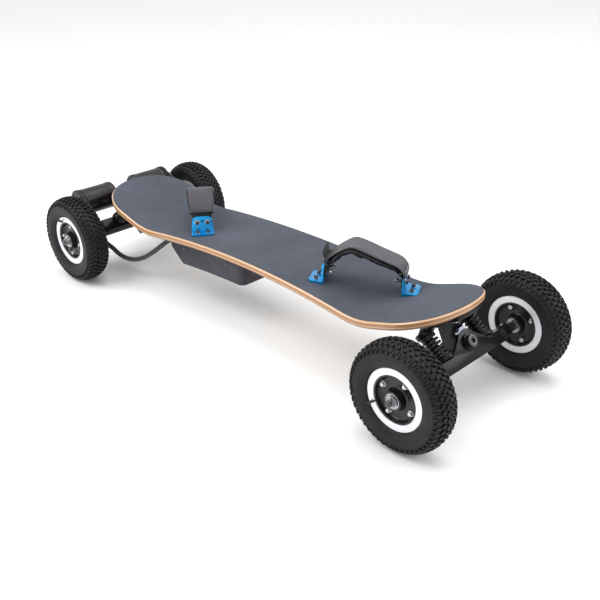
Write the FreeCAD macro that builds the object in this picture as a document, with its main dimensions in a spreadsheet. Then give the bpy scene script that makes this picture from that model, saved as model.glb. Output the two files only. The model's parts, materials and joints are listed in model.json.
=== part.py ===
"""All-terrain electric skateboard, as a parametric assembly of separate solids.

Frame: X forward along the board, Y to the left, Z up. The origin is on the ground, midway
between the axles. Units are millimetres and degrees.
"""

import FreeCAD, Part
import math
import operator
import os

import Sketcher

Vector = FreeCAD.Vector
Rotation = FreeCAD.Rotation
Placement = FreeCAD.Placement

# Driving dimensions: alias, value, meaning.
DIMENSIONS = (
    ("wheelbase", 968, "front axle to rear axle"),
    ("track", 350, "between the centre planes of the left and right wheels"),
    ("tyre_radius", 100, "outside radius of the tyre"),
    ("tyre_half_width", 28, "half of the tyre's widest section"),
    ("tyre_wall", 4, "thickness of the tyre's sidewall and crown"),
    ("tube_radius", 19, "section radius of the inner tube"),
    ("tube_wall", 1.5, "thickness of the inner tube"),
    ("ring_outer", 56.7, "outside radius of the silver rim ring"),
    ("ring_inner", 43.8, "inside radius of the silver rim ring"),
    ("ring_face", 20, "distance of a ring's face from the wheel's centre plane"),
    ("ring_plate", 2.7, "thickness of a rim ring's flange and barrel"),
    ("web_thickness", 11, "thickness of one hub half's web"),
    ("boss_length", 24, "distance of the hub boss's end from the centre plane"),
    ("hub_bolt_circle", 33, "radius of the circle of hub bolts"),
    ("hub_bolt_radius", 2.5, "shank radius of a hub bolt"),
    ("bearing_outer", 14, "outside radius of a wheel bearing"),
    ("bearing_width", 8, "width of a wheel bearing"),
    ("axle_radius", 6, "radius of an axle and of its holes"),
    ("axle_overhang", 37, "axle end beyond the wheel's centre plane"),
    ("collar_radius", 9, "outside radius of an axle spacer and nut"),
    ("fit", 0.05, "radial clearance of a running fit"),
    ("gap", 0.3, "clearance between faces that move past each other"),
    ("kingpin_rake", 35, "tilt of a steering axis from the horizontal"),
    ("kingpin_reach", 11, "kingpin head beyond its axle, along the board"),
    ("kingpin_rise", 34, "kingpin head above its axle"),
    ("kingpin_radius", 6, "shank radius of a kingpin"),
    ("kingpin_length", 64, "kingpin from under its head to its end"),
    ("barrel_radius", 11.5, "outside radius of the top truck's kingpin barrel"),
    ("hanger_plate", 10, "thickness of the hanger's end plate"),
    ("hanger_half_width", 100, "half width of the hanger's beam"),
    ("arm_reach", 128, "end of the hanger's arm from the middle"),
    ("arm_radius", 12, "radius of the hanger's arm at its root"),
    ("spring_offset", 57, "spring axis from the middle of the board"),
    ("spring_radius", 15, "outside radius of a coil spring"),
    ("base_plate", 6.5, "thickness of the base plate under a tip"),
    ("base_half_width", 36, "half width of the base plate"),
    ("base_length", 74, "length of the base plate"),
    ("deck_length", 976, "deck from tip to tip"),
    ("deck_thickness", 14, "thickness of the plywood"),
    ("deck_top", 167.3, "height of the deck's top at the middle"),
    ("deck_waist", 97.5, "half width of the deck at the middle"),
    ("deck_shoulder", 107.5, "half width of the deck where the tips start to round"),
    ("camber_radius", 2500, "radius of the deck's arched middle"),
    ("camber_half", 280, "half length of the arched middle"),
    ("bend_radius", 170, "radius of the bend where a tip turns up"),
    ("tip_angle", 18, "slope of the tips"),
    ("corner_radius", 88, "plan radius of a tip's corners"),
    ("nose_radius", 155, "plan radius of a tip's nose"),
    ("edge_bevel", 2.5, "bevel along the deck's edges"),
    ("grip_thickness", 0.8, "thickness of the grip tape"),
    ("grip_inset", 3, "grip tape's edge from the deck's edge"),
    ("box_rear", 245, "rear end of the battery box behind the middle"),
    ("box_front", 8, "front end of the battery box behind the middle"),
    ("box_half_width", 82, "half width of the battery box"),
    ("box_depth", 54, "depth of the battery box below the deck"),
    ("box_wall", 3, "wall of the battery box"),
    ("box_corner", 14, "radius of the box's front corners"),
    ("button_radius", 9, "radius of the power button"),
    ("motor_radius", 31.5, "outside radius of a motor"),
    ("motor_length", 86, "length of a motor's case"),
    ("motor_outboard", 117, "mounting face of a motor from the middle"),
    ("motor_behind", 59, "motor axis behind the rear axle"),
    ("motor_above", 57, "motor axis above the rear axle"),
    ("mount_thickness", 8, "thickness of a motor mount plate"),
    ("shaft_radius", 4, "radius of a motor shaft"),
    ("belt_pitch", 5, "pitch of the drive belt's teeth"),
    ("wheel_teeth", 62, "teeth of a wheel pulley"),
    ("motor_teeth", 15, "teeth of a motor pulley"),
    ("belt_width", 12, "width of the drive belt"),
    ("belt_thickness", 2, "thickness of the drive belt behind its teeth"),
    ("pulley_outboard", 143, "outer face of the pulleys from the middle"),
    ("pulley_width", 15, "width of the pulleys"),
    ("strap_span", 150, "between the upright ears that hold a strap"),
    ("strap_rise", 66, "strap's crest above its pivot bolts"),
    ("strap_width", 68, "width of a strap's pad"),
    ("strap_thickness", 9, "thickness of a strap's pad"),
    ("front_strap_centre", 247, "middle of the front strap from the middle of the board"),
    ("rear_strap_centre", 237, "middle of the rear strap from the middle of the board"),
    ("front_strap_turn", 29, "turn of the front strap's span from the board's length"),
    ("rear_strap_turn", 38, "turn of the rear strap's span from the board's length"),
    ("ear_height", 36, "height of a bracket's upright ear"),
    ("ear_width", 48, "width of a bracket"),
    ("ear_thickness", 4, "thickness of a bracket's plates"),
    ("foot_length", 30, "length of a bracket's foot"),
    ("foot_depth", 12, "stock under a bracket, cut back to the deck's curve"),
    ("strap_shift", 4, "middle of a strap to the left of the board's middle"),
    ("bolt_height", 23, "strap bolts above the underside of a bracket"),
    ("bolt_radius", 2.5, "shank radius of a strap bolt"),
    ("bolt_spread", 11, "a bracket's bolts from its middle"),
    ("lead_radius", 5.5, "radius of the sleeved motor lead"),
)

# Centreline of the right motor's lead, from the motor's gland to the battery box.
LEAD_ROUTE = (
    (-543.0, -100.0, 122.2),
    (-544.0, -100.0, 94.0),
    (-527.0, -99.0, 70.0),
    (-497.0, -97.0, 64.0),
    (-468.0, -94.0, 56.0),
    (-444.0, -89.0, 40.0),
    (-411.0, -82.0, 37.0),
    (-375.0, -74.0, 48.0),
    (-339.0, -66.0, 73.0),
    (-303.0, -58.0, 103.0),
    (-275.0, -52.0, 124.0),
    (-249.0, -50.0, 131.0),
)

FRONT, REAR = 1, -1
LEFT, RIGHT = 1, -1
SIGNS = {"+": operator.add, "-": operator.sub, "*": operator.mul, "/": operator.truediv}

doc = FreeCAD.newDocument("Skateboard")
parts = {}


# ---------------------------------------------------------------- numbers bound to the sheet


class Size:
    """A number together with the spreadsheet expression that gives it."""

    def __init__(self, value, text):
        self.value = value
        self.text = text

    def __add__(self, other):
        return joined(self, "+", other)

    def __radd__(self, other):
        return joined(other, "+", self)

    def __sub__(self, other):
        return joined(self, "-", other)

    def __rsub__(self, other):
        return joined(other, "-", self)

    def __mul__(self, other):
        return joined(self, "*", other)

    def __rmul__(self, other):
        return joined(other, "*", self)

    def __truediv__(self, other):
        return joined(self, "/", other)

    def __rtruediv__(self, other):
        return joined(other, "/", self)

    def __neg__(self):
        return joined(0, "-", self)


def value(size):
    return float(size.value) if isinstance(size, Size) else float(size)


def text(size):
    return size.text if isinstance(size, Size) else f"({float(size)!r})"


def joined(left, sign, right):
    number = SIGNS[sign](value(left), value(right))
    return Size(number, f"({text(left)} {sign} {text(right)})")


def root(size):
    return Size(math.sqrt(value(size)), f"sqrt({text(size)})")


def sine(angle):
    return Size(math.sin(math.radians(value(angle))), f"sin({text(angle)})")


def cosine(angle):
    return Size(math.cos(math.radians(value(angle))), f"cos({text(angle)})")


def make_sheet():
    """The driving dimensions, one row each: meaning, value."""
    sheet = doc.addObject("Spreadsheet::Sheet", "sizes")
    sizes = {}
    for row, (alias, number, meaning) in enumerate(DIMENSIONS, start=1):
        sheet.set(f"A{row}", meaning)
        sheet.set(f"B{row}", str(number))
        sheet.setAlias(f"B{row}", alias)
        sizes[alias] = Size(number, f"sizes.{alias}")
    doc.recompute()
    return sizes


D = make_sheet()


# ---------------------------------------------------------------- sketches and features


class Arc:
    """A sketch step: an arc through a middle point to an end point."""

    def __init__(self, middle, end):
        self.middle = middle
        self.end = end


def flat(point):
    return Vector(value(point[0]), value(point[1]), 0)


def pin_point(sketch, geometry, position, point):
    """Fix a sketch point at coordinates that follow the sheet."""
    for kind, size in zip(("DistanceX", "DistanceY"), point):
        datum = Sketcher.Constraint(kind, -1, 1, geometry, position, value(size))
        index = sketch.addConstraint(datum)
        sketch.setExpression(f"Constraints[{index}]", text(size))


def add_arc(sketch, start, arc):
    """Add a three-point arc and return its geometry with its start and end positions."""
    first, middle, last = flat(start), flat(arc.middle), flat(arc.end)
    centre = Part.Circle(first, middle, last).Center
    circle = Part.Circle(centre, Vector(0, 0, 1), (first - centre).Length)
    turn = (middle - first).cross(last - middle).z
    angles = [math.atan2(p.y - centre.y, p.x - centre.x) for p in (first, last)]
    positions = (1, 2)
    if turn < 0:
        angles.reverse()
        positions = (2, 1)
    geometry = sketch.addGeometry(Part.ArcOfCircle(circle, angles[0], angles[1]))
    guide = sketch.addGeometry(Part.Point(middle), True)
    sketch.addConstraint(Sketcher.Constraint("PointOnObject", guide, 1, geometry))
    pin_point(sketch, guide, 1, arc.middle)
    return geometry, positions


def trace(sketch, path):
    """Draw a closed outline: points, and arcs given as Arc(middle, end)."""
    ends = [step.end if isinstance(step, Arc) else step for step in path]
    steps = list(path[1:])
    if isinstance(path[-1], Arc) and path[-1].end is path[0]:
        ends.pop()
    else:
        steps.append(path[0])
    pieces = []
    for start, step in zip(ends, steps):
        if isinstance(step, Arc):
            pieces.append(add_arc(sketch, start, step))
        else:
            line = sketch.addGeometry(Part.LineSegment(flat(start), flat(step)))
            pieces.append((line, (1, 2)))
    for index, start in enumerate(ends):
        geometry, (first, _) = pieces[index]
        before, (_, last) = pieces[index - 1]
        sketch.addConstraint(Sketcher.Constraint("Coincident", before, last, geometry, first))
        pin_point(sketch, geometry, first, start)


def add_circle(sketch, centre, radius):
    circle = Part.Circle(flat(centre), Vector(0, 0, 1), value(radius))
    geometry = sketch.addGeometry(circle)
    pin_point(sketch, geometry, 3, centre)
    index = sketch.addConstraint(Sketcher.Constraint("Radius", geometry, value(radius)))
    sketch.setExpression(f"Constraints[{index}]", text(radius))


def new_body(label):
    body = doc.addObject("PartDesign::Body", "Body")
    body.Label = label
    return body


def origin_plane(body, role):
    return next(item for item in body.Origin.OriginFeatures if item.Role == role)


def new_sketch(body, role, offset=0):
    """A sketch on one of the body's origin planes, moved along the plane's normal."""
    sketch = body.newObject("Sketcher::SketchObject", "Sketch")
    sketch.AttachmentSupport = [(origin_plane(body, role), "")]
    sketch.MapMode = "FlatFace"
    sketch.setExpression("AttachmentOffset.Base.z", text(offset))
    return sketch


def revolve(body, path):
    """Turn an outline of (radius, along Y) points about the body's Y axis."""
    sketch = new_sketch(body, "XY_Plane")
    trace(sketch, path)
    feature = body.newObject("PartDesign::Revolution", "Revolution")
    feature.Profile = sketch
    feature.ReferenceAxis = (sketch, ["V_Axis"])
    feature.Angle = 360
    return feature


def pad(body, role, path, low, high):
    """Extrude an outline from low to high along the normal of an origin plane."""
    sketch = new_sketch(body, role, low)
    trace(sketch, path)
    feature = body.newObject("PartDesign::Pad", "Pad")
    feature.Profile = sketch
    feature.setExpression("Length", text(high - low))
    return feature


def drill(body, role, holes, low, high):
    """Cut round holes, each (centre, radius), from low to high along a plane's normal."""
    sketch = new_sketch(body, role, low)
    for centre, radius in holes:
        add_circle(sketch, centre, radius)
    feature = body.newObject("PartDesign::Pocket", "Pocket")
    feature.Profile = sketch
    feature.Reversed = True
    feature.setExpression("Length", text(high - low))
    return feature


def ring_points(count, radius, phase=0):
    """Points evenly spaced on a circle."""
    turns = [phase + 360.0 / count * index for index in range(count)]
    return [(radius * cosine(turn), radius * sine(turn)) for turn in turns]


def hexagon(radius):
    """A hexagon of the given half width across its flats."""
    return ring_points(6, radius / cosine(30), 30)


# ---------------------------------------------------------------- primitives and booleans


def move(feature, base=(0, 0, 0), rotation=None):
    """Place a feature; its position follows the sheet."""
    if rotation is not None:
        feature.Placement = Placement(Vector(), rotation)
    for axis, size in zip("xyz", base):
        feature.setExpression(f"Placement.Base.{axis}", text(size))
    return feature


def block(low, high):
    """A box from its lowest corner to its highest."""
    feature = doc.addObject("Part::Box", "Box")
    for name, start, end in zip(("Length", "Width", "Height"), low, high):
        feature.setExpression(name, text(end - start))
    return move(feature, low)


def rod(start, direction, radius, length, end_radius=None):
    """A cylinder or, with an end radius, a cone."""
    kind = "Part::Cylinder" if end_radius is None else "Part::Cone"
    feature = doc.addObject(kind, "Rod")
    if end_radius is None:
        feature.setExpression("Radius", text(radius))
    else:
        feature.setExpression("Radius1", text(radius))
        feature.setExpression("Radius2", text(end_radius))
    feature.setExpression("Height", text(length))
    return move(feature, start, Rotation(Vector(0, 0, 1), Vector(*direction)))


def fuse(features):
    feature = doc.addObject("Part::MultiFuse", "Fuse")
    feature.Shapes = features
    feature.Refine = True
    return feature


def cut(base, *tools):
    feature = doc.addObject("Part::Cut", "Cut")
    feature.Base = base
    feature.Tool = tools[0] if len(tools) == 1 else fuse(list(tools))
    return feature


def group(features):
    """Separate solids kept together in one object."""
    feature = doc.addObject("Part::Compound", "Group")
    feature.Links = features
    return feature


def mirrored(source, normal):
    feature = doc.addObject("Part::Mirroring", "Mirror")
    feature.Source = source
    feature.Normal = Vector(*normal)
    return feature


def from_shape(shape):
    """A piece whose shape is worked out here from the sheet's values."""
    feature = doc.addObject("Part::Feature", "Shape")
    feature.Shape = shape
    return feature


def publish(name, feature, base=None, rotation=None):
    """Name a finished piece, put it in its place and list it for export."""
    feature.Label = name
    if base is not None:
        move(feature, base, rotation)
    parts[name] = feature


X_AXIS, Y_AXIS, Z_AXIS = (1, 0, 0), (0, 1, 0), (0, 0, 1)
EAR_THICKNESS = 6.5
BOLT_HOLE = 3.1

# ---------------------------------------------------------------- wheels


def tyre():
    """Hollow pneumatic tyre whose beads sit between the rim ring's flanges."""
    body = new_body("tyre")
    outer, half, wall = D["tyre_radius"], D["tyre_half_width"], D["tyre_wall"]
    seat = D["ring_inner"] + D["ring_plate"] + 0.3
    bead = D["ring_face"] - D["ring_plate"] - 0.1
    lip = D["ring_outer"] + 0.5
    start = (seat, bead - 7)
    path = [
        start,
        (seat, bead),
        (lip, bead),
        (lip, D["ring_face"] + 0.5),
        Arc((lip + (outer - lip) * 0.4, half), (outer - 8, half * 0.77)),
        Arc((outer, 0), (outer - 8, -half * 0.77)),
        Arc((lip + (outer - lip) * 0.4, -half), (lip, -D["ring_face"] - 0.5)),
        (lip, -bead),
        (seat, -bead),
        (seat, 7 - bead),
        (seat + 8, 5 - bead),
        Arc((lip + (outer - lip) * 0.4, wall - half), (outer - 8 - wall / 2, wall - half * 0.77)),
        Arc((outer - wall, 0), (outer - 8 - wall / 2, half * 0.77 - wall)),
        Arc((lip + (outer - lip) * 0.4, half - wall), (seat + 8, bead - 5)),
    ]
    revolve(body, path)
    return body


def inner_tube():
    """Air tube: a hollow ring inside the tyre."""
    body = new_body("tube")
    middle = D["tyre_radius"] - D["tyre_wall"] - D["tube_radius"] - 1
    sketch = new_sketch(body, "XY_Plane")
    add_circle(sketch, (middle, 0), D["tube_radius"])
    add_circle(sketch, (middle, 0), D["tube_radius"] - D["tube_wall"])
    feature = body.newObject("PartDesign::Revolution", "Revolution")
    feature.Profile = sketch
    feature.ReferenceAxis = (sketch, ["V_Axis"])
    feature.Angle = 360
    return body


def rim_ring():
    """Outboard silver ring: a flange for the bead and the barrel under it."""
    body = new_body("ring")
    inner, face, plate = D["ring_inner"], D["ring_face"], D["ring_plate"]
    revolve(
        body,
        [
            (inner, 0),
            (inner + plate, 0),
            (inner + plate, face - plate),
            (D["ring_outer"], face - plate),
            (D["ring_outer"], face),
            (inner, face),
        ],
    )
    return body


def hub_half():
    """Outboard half of the split hub, with its bearing seat and bolt holes."""
    body = new_body("hub")
    seat = D["bearing_outer"]
    bore = seat - 4
    rim = D["ring_inner"] - 0.1
    web, face, boss = D["web_thickness"], D["ring_face"], D["boss_length"]
    shoulder = boss - D["bearing_width"]
    revolve(
        body,
        [
            (bore, 0),
            (rim, 0),
            (rim, face - 2),
            (rim - 2.5, face - 2),
            (rim - 5.5, web),
            (seat + 5, web),
            (seat + 3.5, boss),
            (seat, boss),
            (seat, shoulder),
            (bore, shoulder),
        ],
    )
    holes = [(point, D["hub_bolt_radius"] + 0.1) for point in ring_points(4, D["hub_bolt_circle"])]
    drill(body, "XZ_Plane", holes, -web - 1, 1)
    return body


def hub_fasteners():
    """Four hub bolts, headed inboard, with their nuts outboard."""
    radius, web = D["hub_bolt_radius"], D["web_thickness"]
    features = []
    for x, z in ring_points(4, D["hub_bolt_circle"]):
        shank = rod((x, -web - 0.5, z), Y_AXIS, radius, web * 2 + 5.5)
        head = rod((x, -web - 4, z), Y_AXIS, radius * 1.7, 4)
        features.append(fuse([shank, head]))
        nut = new_body("nut")
        pad(nut, "XY_Plane", hexagon(radius * 1.6), 0, 4)
        drill(nut, "XY_Plane", [((0, 0), radius + 0.02)], -1, 6)
        features.append(move(nut, (x, web, z), Rotation(Vector(0, 0, 1), Vector(0, 1, 0))))
    return group(features)


def bearing():
    """Outboard ball bearing, drawn as one ring."""
    body = new_body("bearing")
    inner, outer = D["axle_radius"] + D["fit"], D["bearing_outer"] - 0.02
    low, high = D["boss_length"] - D["bearing_width"], D["boss_length"]
    revolve(
        body,
        [
            (inner, low),
            (outer, low),
            (outer, high),
            (outer - 1.5, high),
            (outer - 1.8, high - 0.6),
            (inner + 2.2, high - 0.6),
            (inner + 1.8, high),
            (inner, high),
        ],
    )
    return body


def pair(maker):
    """A piece of a wheel and its mirror image on the inboard side."""
    return group([maker(), mirrored(maker(), Y_AXIS)])


def wheel(corner, end, side, phase):
    """The pieces of one wheel; its own +Y faces outboard."""
    turn = Rotation(Vector(0, 1, 0), -phase)
    if side == RIGHT:
        turn = turn * Rotation(Vector(0, 0, 1), 180)
    place = (D["wheelbase"] / 2 * end, D["track"] / 2 * side, D["tyre_radius"])
    publish(f"{corner}_tyre", tyre(), place, turn)
    publish(f"{corner}_inner_tube", inner_tube(), place, turn)
    publish(f"{corner}_rim_rings", pair(rim_ring), place, turn)
    publish(f"{corner}_hub", pair(hub_half), place, turn)
    publish(f"{corner}_hub_bolts", hub_fasteners(), place, turn)
    publish(f"{corner}_bearings", pair(bearing), place, turn)


# ---------------------------------------------------------------- trucks

# A truck is drawn in its own frame: the origin under the kingpin's head, X along the steering
# axis towards the end of the board and upwards, Y across, Z square to both.


def truck_place(end):
    base = (
        (D["wheelbase"] / 2 + D["kingpin_reach"]) * end,
        0,
        D["tyre_radius"] + D["kingpin_rise"],
    )
    turn = Rotation(Vector(0, 1, 0), -value(D["kingpin_rake"]))
    if end == REAR:
        turn = Rotation(Vector(0, 0, 1), 180) * turn
    return base, turn


def in_truck(x, z):
    """Truck coordinates of a place given along and above the axle, towards the tip."""
    rake = D["kingpin_rake"]
    dx, dz = x - D["kingpin_reach"], z - D["kingpin_rise"]
    return dx * cosine(rake) + dz * sine(rake), dz * cosine(rake) - dx * sine(rake)


def hanger():
    """Pivoting axle carrier: end plate, beam, rear ear, arms and spring seats."""
    half, arm, spring = D["hanger_half_width"], D["arm_radius"], D["spring_radius"]
    axle_x, axle_z = in_truck(0, 0)
    floor, shelf = axle_z - arm, axle_z + arm
    front, back = -8, -D["kingpin_length"]
    ear = back + EAR_THICKNESS
    plate_back = front - D["hanger_plate"]
    outline = [
        (-half, floor + 3),
        (3 - half, floor),
        (half - 3, floor),
        (half, floor + 3),
        (half, shelf - 4),
        (half * 0.5, shelf),
        (21, 12),
        Arc((0, 24), (-21, 12)),
        (-half * 0.5, shelf),
        (-half, shelf - 4),
    ]
    plate = new_body("plate")
    pad(plate, "YZ_Plane", outline, plate_back, front)
    solids = [
        plate,
        rod((front - 1, 0, 0), X_AXIS, 15, 6 - D["gap"]),
        block((axle_x - arm, -half, floor), (front - 1, half, shelf)),
        block((back, -16, floor), (axle_x, 16, -13)),
        block((back, -14, -14), (ear, 14, 0)),
        rod((back, 0, 0), X_AXIS, 14, EAR_THICKNESS),
    ]
    lower, _, lean = spring_line()
    for side in (LEFT, RIGHT):
        start = (axle_x, (half - 1) * side, axle_z)
        solids.append(rod(start, (0, side, 0), arm, D["arm_reach"] - half + 1))
        seat = (lower[0] - 8 * lean[0], D["spring_offset"] * side, lower[1] - 8 * lean[1])
        solids.append(rod(seat, (lean[0], 0, lean[1]), spring + 2, 8))
    pivot = D["kingpin_radius"] + D["fit"]
    barrel = D["barrel_radius"] + 1
    return cut(
        fuse(solids),
        rod((back - 1, 0, 0), X_AXIS, pivot, D["kingpin_length"] + 4),
        rod((ear, 0, 0), X_AXIS, barrel, plate_back - ear),
        block((ear, -barrel, 0), (plate_back, barrel, 30)),
        rod((axle_x, -half - 40, axle_z), Y_AXIS, D["axle_radius"], half * 2 + 80),
    )


def axle():
    """Through rod of a truck with the spacer collars that set the wheels' distance."""
    end = D["track"] / 2 + D["axle_overhang"]
    axle_x, axle_z = in_truck(0, 0)
    solids = [rod((axle_x, -end, axle_z), Y_AXIS, D["axle_radius"], end * 2)]
    face = D["track"] / 2 - D["boss_length"] - D["gap"]
    for side in (LEFT, RIGHT):
        start = (axle_x, (D["arm_reach"]) * side, axle_z)
        solids.append(rod(start, (0, side, 0), D["collar_radius"], face - D["arm_reach"]))
    return fuse(solids)


def axle_nuts():
    """Nut and washer on each end of an axle."""
    axle_x, axle_z = in_truck(0, 0)
    features = []
    start = D["track"] / 2 + D["boss_length"] + D["gap"]
    for side in (LEFT, RIGHT):
        nut = new_body("nut")
        sketch_hexagon = hexagon(D["collar_radius"])
        pad(nut, "XY_Plane", sketch_hexagon, 1.5, 8.5)
        washer = ring_points(24, D["collar_radius"] + 1)
        pad(nut, "XY_Plane", washer, 0, 2)
        drill(nut, "XY_Plane", [((0, 0), D["axle_radius"] + 0.02)], -1, 12)
        turn = Rotation(Vector(0, 0, 1), Vector(0, side, 0))
        features.append(move(nut, (axle_x, start * side, axle_z), turn))
    return group(features)


def kingpin():
    """Pivot bolt with a round socket head, and its nut."""
    radius, length = D["kingpin_radius"], D["kingpin_length"]
    head = rod((-3, 0, 0), (1, 0, 0), 11.5, 7)
    shank = rod((-length - 9, 0, 0), (1, 0, 0), radius, length + 8)
    socket = new_body("socket")
    pad(socket, "YZ_Plane", hexagon(4.5), -1, 5)
    bolt = cut(fuse([shank, head]), socket)
    nut = new_body("nut")
    pad(nut, "YZ_Plane", hexagon(radius * 1.6), -length - 8, -length - D["gap"])
    drill(nut, "YZ_Plane", [((0, 0), radius + 0.02)], -length - 10, -length + 2)
    return group([bolt, nut])


def spring_line():
    """A spring's lower and upper end and its direction, as (x, z) in the truck's frame."""
    axle_x, axle_z = in_truck(0, 0)
    lower = (axle_x + 6.5, axle_z + D["arm_radius"] + 6)
    upper = (lower[0] - 16, lower[1] + 44)
    length = math.hypot(16, 44)
    return lower, upper, (-16 / length, 44 / length)


def springs():
    """The two springs of a truck, as closed sleeves of the coils' outside size."""
    lower, _, lean = spring_line()
    outer, wire = D["spring_radius"], 4
    length = math.hypot(16, 44)
    features = []
    for side in (LEFT, RIGHT):
        across = D["spring_offset"] * side
        direction = (lean[0], 0, lean[1])
        start = (lower[0] + lean[0] * D["gap"], across, lower[1] + lean[1] * D["gap"])
        sleeve = rod(start, direction, outer, length - D["gap"] * 2)
        below = (lower[0] - lean[0] * 5, across, lower[1] - lean[1] * 5)
        features.append(cut(sleeve, rod(below, direction, outer - wire, length + 10)))
    return group(features)


def under_tip(along, depth):
    """A place on the front tip's flat underside, square to it by a depth, as (x, z)."""
    start, height = tip_start()
    tip = D["tip_angle"]
    top = height + (along - start) * sine(tip) / cosine(tip)
    underside = top - D["deck_thickness"] / cosine(tip)
    return along + depth * sine(tip), underside - depth * cosine(tip)


def tip_in_truck(along, depth):
    """The same place in the truck's frame."""
    x, z = under_tip(along, depth)
    return in_truck(x - D["wheelbase"] / 2, z - D["tyre_radius"])


def truck_bolt_points():
    """Mounting bolts of a truck: distance along the board and across it."""
    front = D["wheelbase"] / 2 + 2
    across = D["base_half_width"] - 10
    return [(x, y) for x in (front - D["base_length"] + 8, front - 12) for y in (-across, across)]


def top_truck():
    """Fixed half of a truck: base plate under the tip, web, kingpin barrel, spring cups."""
    thick, half = D["base_plate"], D["base_half_width"]
    front = D["wheelbase"] / 2 + 2
    rear = front - D["base_length"]
    plate = new_body("base_plate")
    corners = [(rear, 0), (front, 0), (front, thick), (rear, thick)]
    pad(plate, "XZ_Plane", [tip_in_truck(*corner) for corner in corners], -half, half)
    start = EAR_THICKNESS + D["gap"] - D["kingpin_length"]
    end = -8 - D["hanger_plate"] - D["gap"]
    web = new_body("web")
    outline = [
        (start, 0),
        (end, 0),
        (end, 27),
        tip_in_truck(front - 8, thick - 1),
        tip_in_truck(rear + 6, thick - 1),
    ]
    web_half = D["barrel_radius"] - 1
    pad(web, "XZ_Plane", outline, -web_half, web_half)
    solids = [plate, web, rod((start, 0, 0), X_AXIS, D["barrel_radius"], end - start)]
    _, upper, lean = spring_line()
    for side in (LEFT, RIGHT):
        across = D["spring_offset"]
        cup = (upper[0], across * side, upper[1])
        solids.append(rod(cup, (lean[0], 0, lean[1]), D["spring_radius"] + 2.5, 9))
        foot = upper[1] + 5
        wing_outline = [
            (upper[0] - 13, foot),
            (upper[0] + 10, foot),
            tip_in_truck(front - 26, thick - 1),
            tip_in_truck(rear + 20, thick - 1),
        ]
        low, high = sorted((10 * side, value(across + 8) * side))
        wing = new_body("wing")
        pad(wing, "XZ_Plane", wing_outline, -high, -low)
        solids.append(wing)
    slope = math.radians(value(D["kingpin_rake"] - D["tip_angle"]))
    axis = (math.sin(slope), 0, math.cos(slope))
    holes = [rod((start - 1, 0, 0), X_AXIS, D["kingpin_radius"] + 0.02, end - start + 2)]
    for x, y in truck_bolt_points():
        foot_x, foot_z = tip_in_truck(x, thick + 5)
        holes.append(rod((foot_x, y, foot_z), axis, BOLT_HOLE, 20))
    return cut(fuse(solids), *holes)


def truck(name, end):
    base, turn = truck_place(end)
    publish(f"{name}_hanger", hanger(), base, turn)
    publish(f"{name}_axle", axle(), base, turn)
    publish(f"{name}_axle_nuts", axle_nuts(), base, turn)
    publish(f"{name}_kingpin", kingpin(), base, turn)
    publish(f"{name}_springs", springs(), base, turn)
    publish(f"{name}_top_truck", top_truck(), base, turn)


# ---------------------------------------------------------------- deck


def arc_height(radius, along):
    """Drop of an arc below its crown."""
    return radius - root(radius * radius - along * along)


def tip_start():
    """Where a tip's straight slope starts: distance along the board, height of its top."""
    radius, bend = D["camber_radius"], D["bend_radius"]
    sink = D["camber_half"] / radius
    level = root(1 - sink * sink)
    along = D["camber_half"] + bend * (sine(D["tip_angle"]) + sink)
    height = D["deck_top"] - arc_height(radius, D["camber_half"])
    height = height + bend * (level - cosine(D["tip_angle"]))
    return along, height


def layer_points(offset):
    """Points along one face of the deck from the middle to the tip, offset from the top face.

    The crown, the end of the camber, the middle of the bend, the end of the bend, the tip.
    """
    radius, bend, tip = D["camber_radius"], D["bend_radius"], D["tip_angle"]
    sink = D["camber_half"] / radius
    level = root(1 - sink * sink)
    crown = D["deck_top"] - radius
    outer, inner = radius + offset, bend - offset
    centre_x = D["camber_half"] + bend * sink
    centre_z = D["deck_top"] - arc_height(radius, D["camber_half"]) + bend * level
    end = D["deck_length"] / 2 + 6
    start_x = centre_x + inner * sine(tip)
    start_z = centre_z - inner * cosine(tip)
    middle_angle = tip / 3
    return (
        (0, D["deck_top"] + offset),
        (D["camber_half"] / 2, crown + root(outer * outer - D["camber_half"] * D["camber_half"] / 4)),
        (outer * sink, crown + outer * level),
        (centre_x + inner * sine(middle_angle), centre_z - inner * cosine(middle_angle)),
        (start_x, start_z),
        (end, start_z + (end - start_x) * sine(tip) / cosine(tip)),
    )


def mirror_point(point):
    return (-point[0], point[1])


def layer_path(low, high):
    """Closed side view of the layer between two offsets from the deck's top face."""
    crown, _, edge, bend, start, tip = layer_points(high)
    low_crown, _, low_edge, low_bend, low_start, low_tip = layer_points(low)
    return [
        mirror_point(tip),
        mirror_point(start),
        Arc(mirror_point(bend), mirror_point(edge)),
        Arc(crown, edge),
        Arc(bend, start),
        tip,
        low_tip,
        low_start,
        Arc(low_bend, low_edge),
        Arc(low_crown, mirror_point(low_edge)),
        Arc(mirror_point(low_bend), mirror_point(low_start)),
        mirror_point(low_tip),
    ]


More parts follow.
